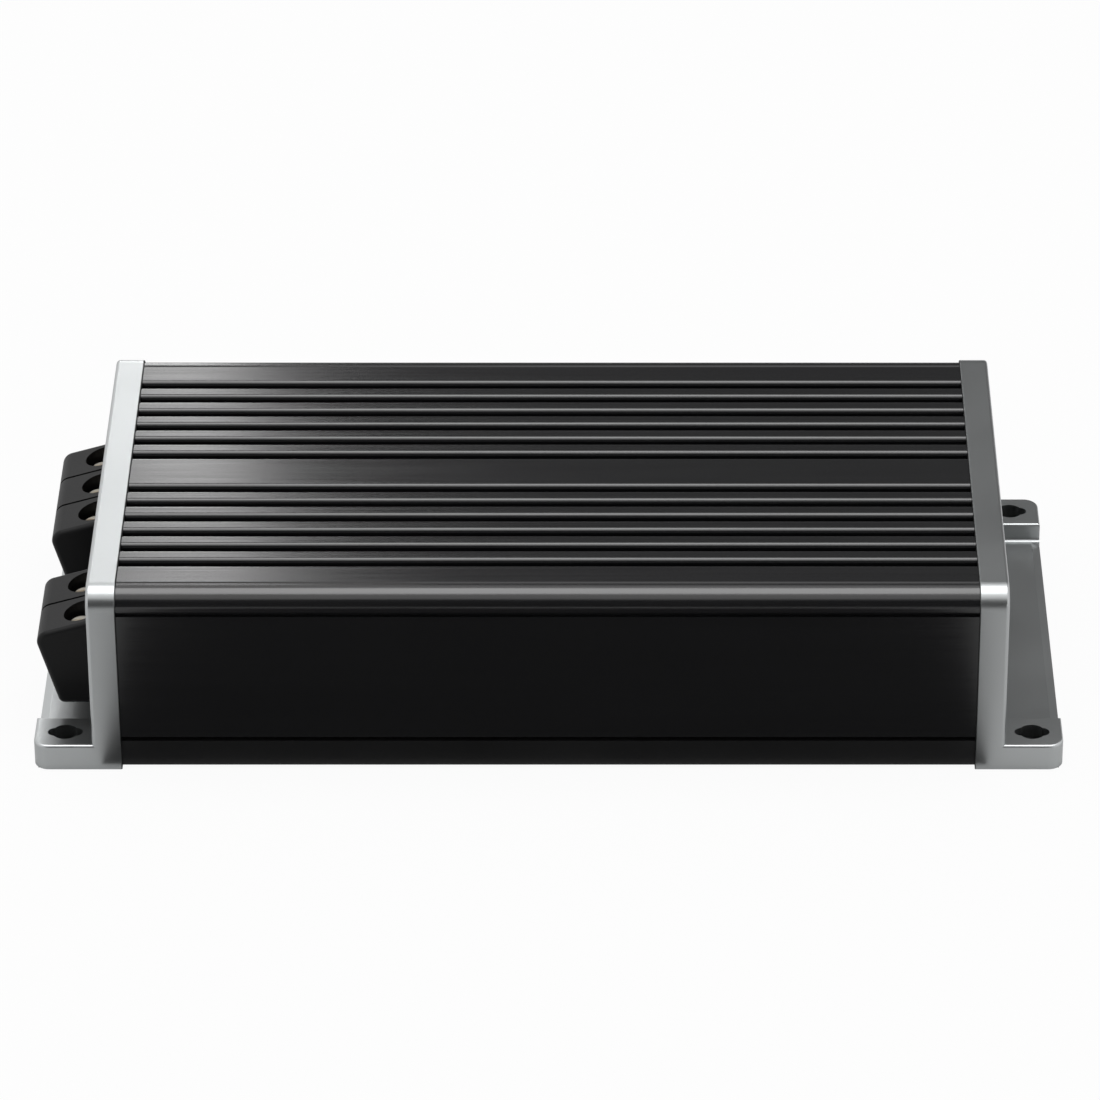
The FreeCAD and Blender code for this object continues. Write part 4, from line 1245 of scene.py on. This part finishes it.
@dataclass
class Studio:
    """Camera, floor, lamp, cards and the white surround."""

    camera_place: tuple[float, float, float] = (0.01482, -1.10573, 0.6897)
    camera_pitch_deg: float = 58.87
    focal_mm: float = 207.3
    sensor_mm: float = 36.0
    view_reach: float = 50.0
    shift: tuple[float, float] = (-0.0664, 0.0)
    lamp_place: tuple[float, float, float] = (0.0, 0.05, 1.5)
    lamp_size: tuple[float, float] = (1.6, 1.0)
    lamp_radiance: float = 3.0
    floor_size: float = 12.0
    floor_z: float = -0.0002
    floor_tone: float = 0.70
    floor_whiteness: float = 0.94
    soft_level: float = 0.5
    patch_x: float = 0.0967
    patch_z: float = -0.00005
    patch_size: tuple[float, float] = (0.010, 0.095)
    cards: tuple[Card, ...] = (
        Card("card_behind", (0.2475, 0.60, 0.36), (0.705, 0.72), 0.13),
        Card("strip_behind", (-0.122, 0.60, 0.38), (0.034, 0.60), 4.8),
        Card("card_front", (0.0, -1.35, 0.62), (1.6, 1.24), 0.03),
        Card("card_floor", (-0.0008, -0.20, 0.0001), (0.1765, 0.30), 0.03, upright=False),
    )

    def build(self) -> None:
        """Builds the whole studio."""
        self.surround()
        self.floor()
        for card in self.cards:
            self.hang(card)
        for side in (-1, 1):
            self.shade_foot(side)
        self.lamp()
        self.camera()

    def surround(self) -> None:
        """A world that is white where it is seen, mirrored or looked through, and softer as plain light."""
        world = bpy.data.worlds.new("surround")
        bpy.context.scene.world = world
        world.use_nodes = True
        nodes, links = world.node_tree.nodes, world.node_tree.links
        background = nodes["Background"]
        background.inputs["Color"].default_value = (1, 1, 1, 1)
        path = nodes.new("ShaderNodeLightPath")
        seen = path.outputs["Is Camera Ray"]
        for ray in ("Is Glossy Ray", "Is Transmission Ray"):
            either = nodes.new("ShaderNodeMath")
            either.operation = "MAXIMUM"
            links.new(seen, either.inputs[0])
            links.new(path.outputs[ray], either.inputs[1])
            seen = either.outputs[0]
        strength = nodes.new("ShaderNodeMapRange")
        strength.inputs["To Min"].default_value = self.soft_level
        strength.inputs["To Max"].default_value = 1.0
        links.new(seen, strength.inputs["Value"])
        links.new(strength.outputs["Result"], background.inputs["Strength"])

    def floor(self) -> None:
        """A white floor that keeps a faint shadow."""
        bpy.ops.mesh.primitive_plane_add(size=self.floor_size, location=(0, 0, self.floor_z))
        floor = bpy.context.object
        floor.name = "floor"
        shader = Shader("floor_white")
        shader.set(Base_Color=grey(self.floor_tone), Roughness=0.9)
        path = shader.node("ShaderNodeLightPath", {}, output="Is Camera Ray")
        glow = shader.node("ShaderNodeEmission", {}, {"Color": grey(1.0), "Strength": 1.0}, output="Emission")
        lit = Signal(shader, shader.surface.outputs[0])
        cover = shader.node("ShaderNodeMixShader", {}, [path * self.floor_whiteness, lit, glow])
        output = shader.tree.nodes["Material Output"]
        shader.tree.links.new(cover.socket, output.inputs["Surface"])
        floor.data.materials.append(shader.material)

    def shade_foot(self, side: int) -> None:
        """A dark patch of floor under a foot, painted shadow which its mounting holes show.

        Args:
            side: -1 for the left foot, 1 for the right one.
        """
        bpy.ops.mesh.primitive_plane_add(size=1.0, location=(side * self.patch_x, 0, self.patch_z))
        patch = bpy.context.object
        patch.name = "shade_left" if side < 0 else "shade_right"
        patch.scale = (*self.patch_size, 1.0)
        shader = Shader(patch.name)
        # painted shadow: near black floor where the foot shades it
        shader.set(Base_Color=grey(0.004), Roughness=0.9, Specular_IOR_Level=0.0)
        patch.data.materials.append(shader.material)

    def hang(self, wanted: Card) -> None:
        """Adds a card that is seen by reflections alone.

        Args:
            wanted: the card.
        """
        tilt = (math.pi / 2, 0, 0) if wanted.upright else (0, 0, 0)
        bpy.ops.mesh.primitive_plane_add(size=1.0, location=wanted.place, rotation=tilt)
        card = bpy.context.object
        card.name = wanted.name
        card.scale = (*wanted.size, 1.0)
        shader = Shader(wanted.name)
        inputs = {"Color": grey(1.0), "Strength": wanted.level}
        glow = shader.node("ShaderNodeEmission", {}, inputs, output="Emission")
        shader.tree.links.new(glow.socket, shader.tree.nodes["Material Output"].inputs["Surface"])
        card.data.materials.append(shader.material)
        card.visible_camera = card.visible_diffuse = card.visible_shadow = False
        card.visible_transmission = card.visible_volume_scatter = False

    def lamp(self) -> None:
        """Adds one wide soft lamp overhead, which faces the origin."""
        data = bpy.data.lights.new("overhead", "AREA")
        data.shape = "RECTANGLE"
        data.size, data.size_y = self.lamp_size
        data.energy = self.lamp_radiance * math.pi * self.lamp_size[0] * self.lamp_size[1]
        lamp = bpy.data.objects.new("overhead", data)
        lamp.location = self.lamp_place
        lamp.rotation_euler = (-Vector(self.lamp_place)).to_track_quat("-Z", "Y").to_euler()
        bpy.context.scene.collection.objects.link(lamp)

    def camera(self) -> None:
        """Adds the camera."""
        data = bpy.data.cameras.new("camera")
        data.lens, data.sensor_width = self.focal_mm, self.sensor_mm
        data.shift_x, data.shift_y = self.shift
        data.clip_end = self.view_reach
        camera = bpy.data.objects.new("camera", data)
        camera.location = self.camera_place
        camera.rotation_euler = (math.radians(self.camera_pitch_deg), 0, 0)
        bpy.context.scene.collection.objects.link(camera)
        bpy.context.scene.camera = camera
        bpy.context.scene.view_settings.view_transform = "Standard"


def main() -> None:
    """Builds the studio and each sub-assembly in turn."""
    Studio().build()
    Housing().build()
    WireTerminals().build()
    Controls().build()
    PowerBoard().build()
    dark = Metal("dark_screw", (0.075, 0.075, 0.080), 0.30).material()
    bright = Metal("bright_screw", (0.60, 0.60, 0.58), 0.24).material()
    for side, outward in (("right", 1), ("left", -1)):
        SocketScrews(side + "_cap_screws", "dark_screw", Axis.X, outward, Head.BUTTON,
                     head_radius=2.6, head_height=1.8).build(dark)
    SocketScrews("base_screws", "dark_screw", Axis.Z, -1, Head.COUNTERSUNK,
                 head_radius=2.7, head_height=1.3).build(dark)
    SocketScrews("board_screws", "bright_screw", Axis.Z, 1, Head.PAN,
                 head_radius=2.5, head_height=1.6).build(bright)
    dress(bright, "clamp_screws")


if __name__ == "__main__":
    logging.basicConfig(level=logging.INFO)
    main()
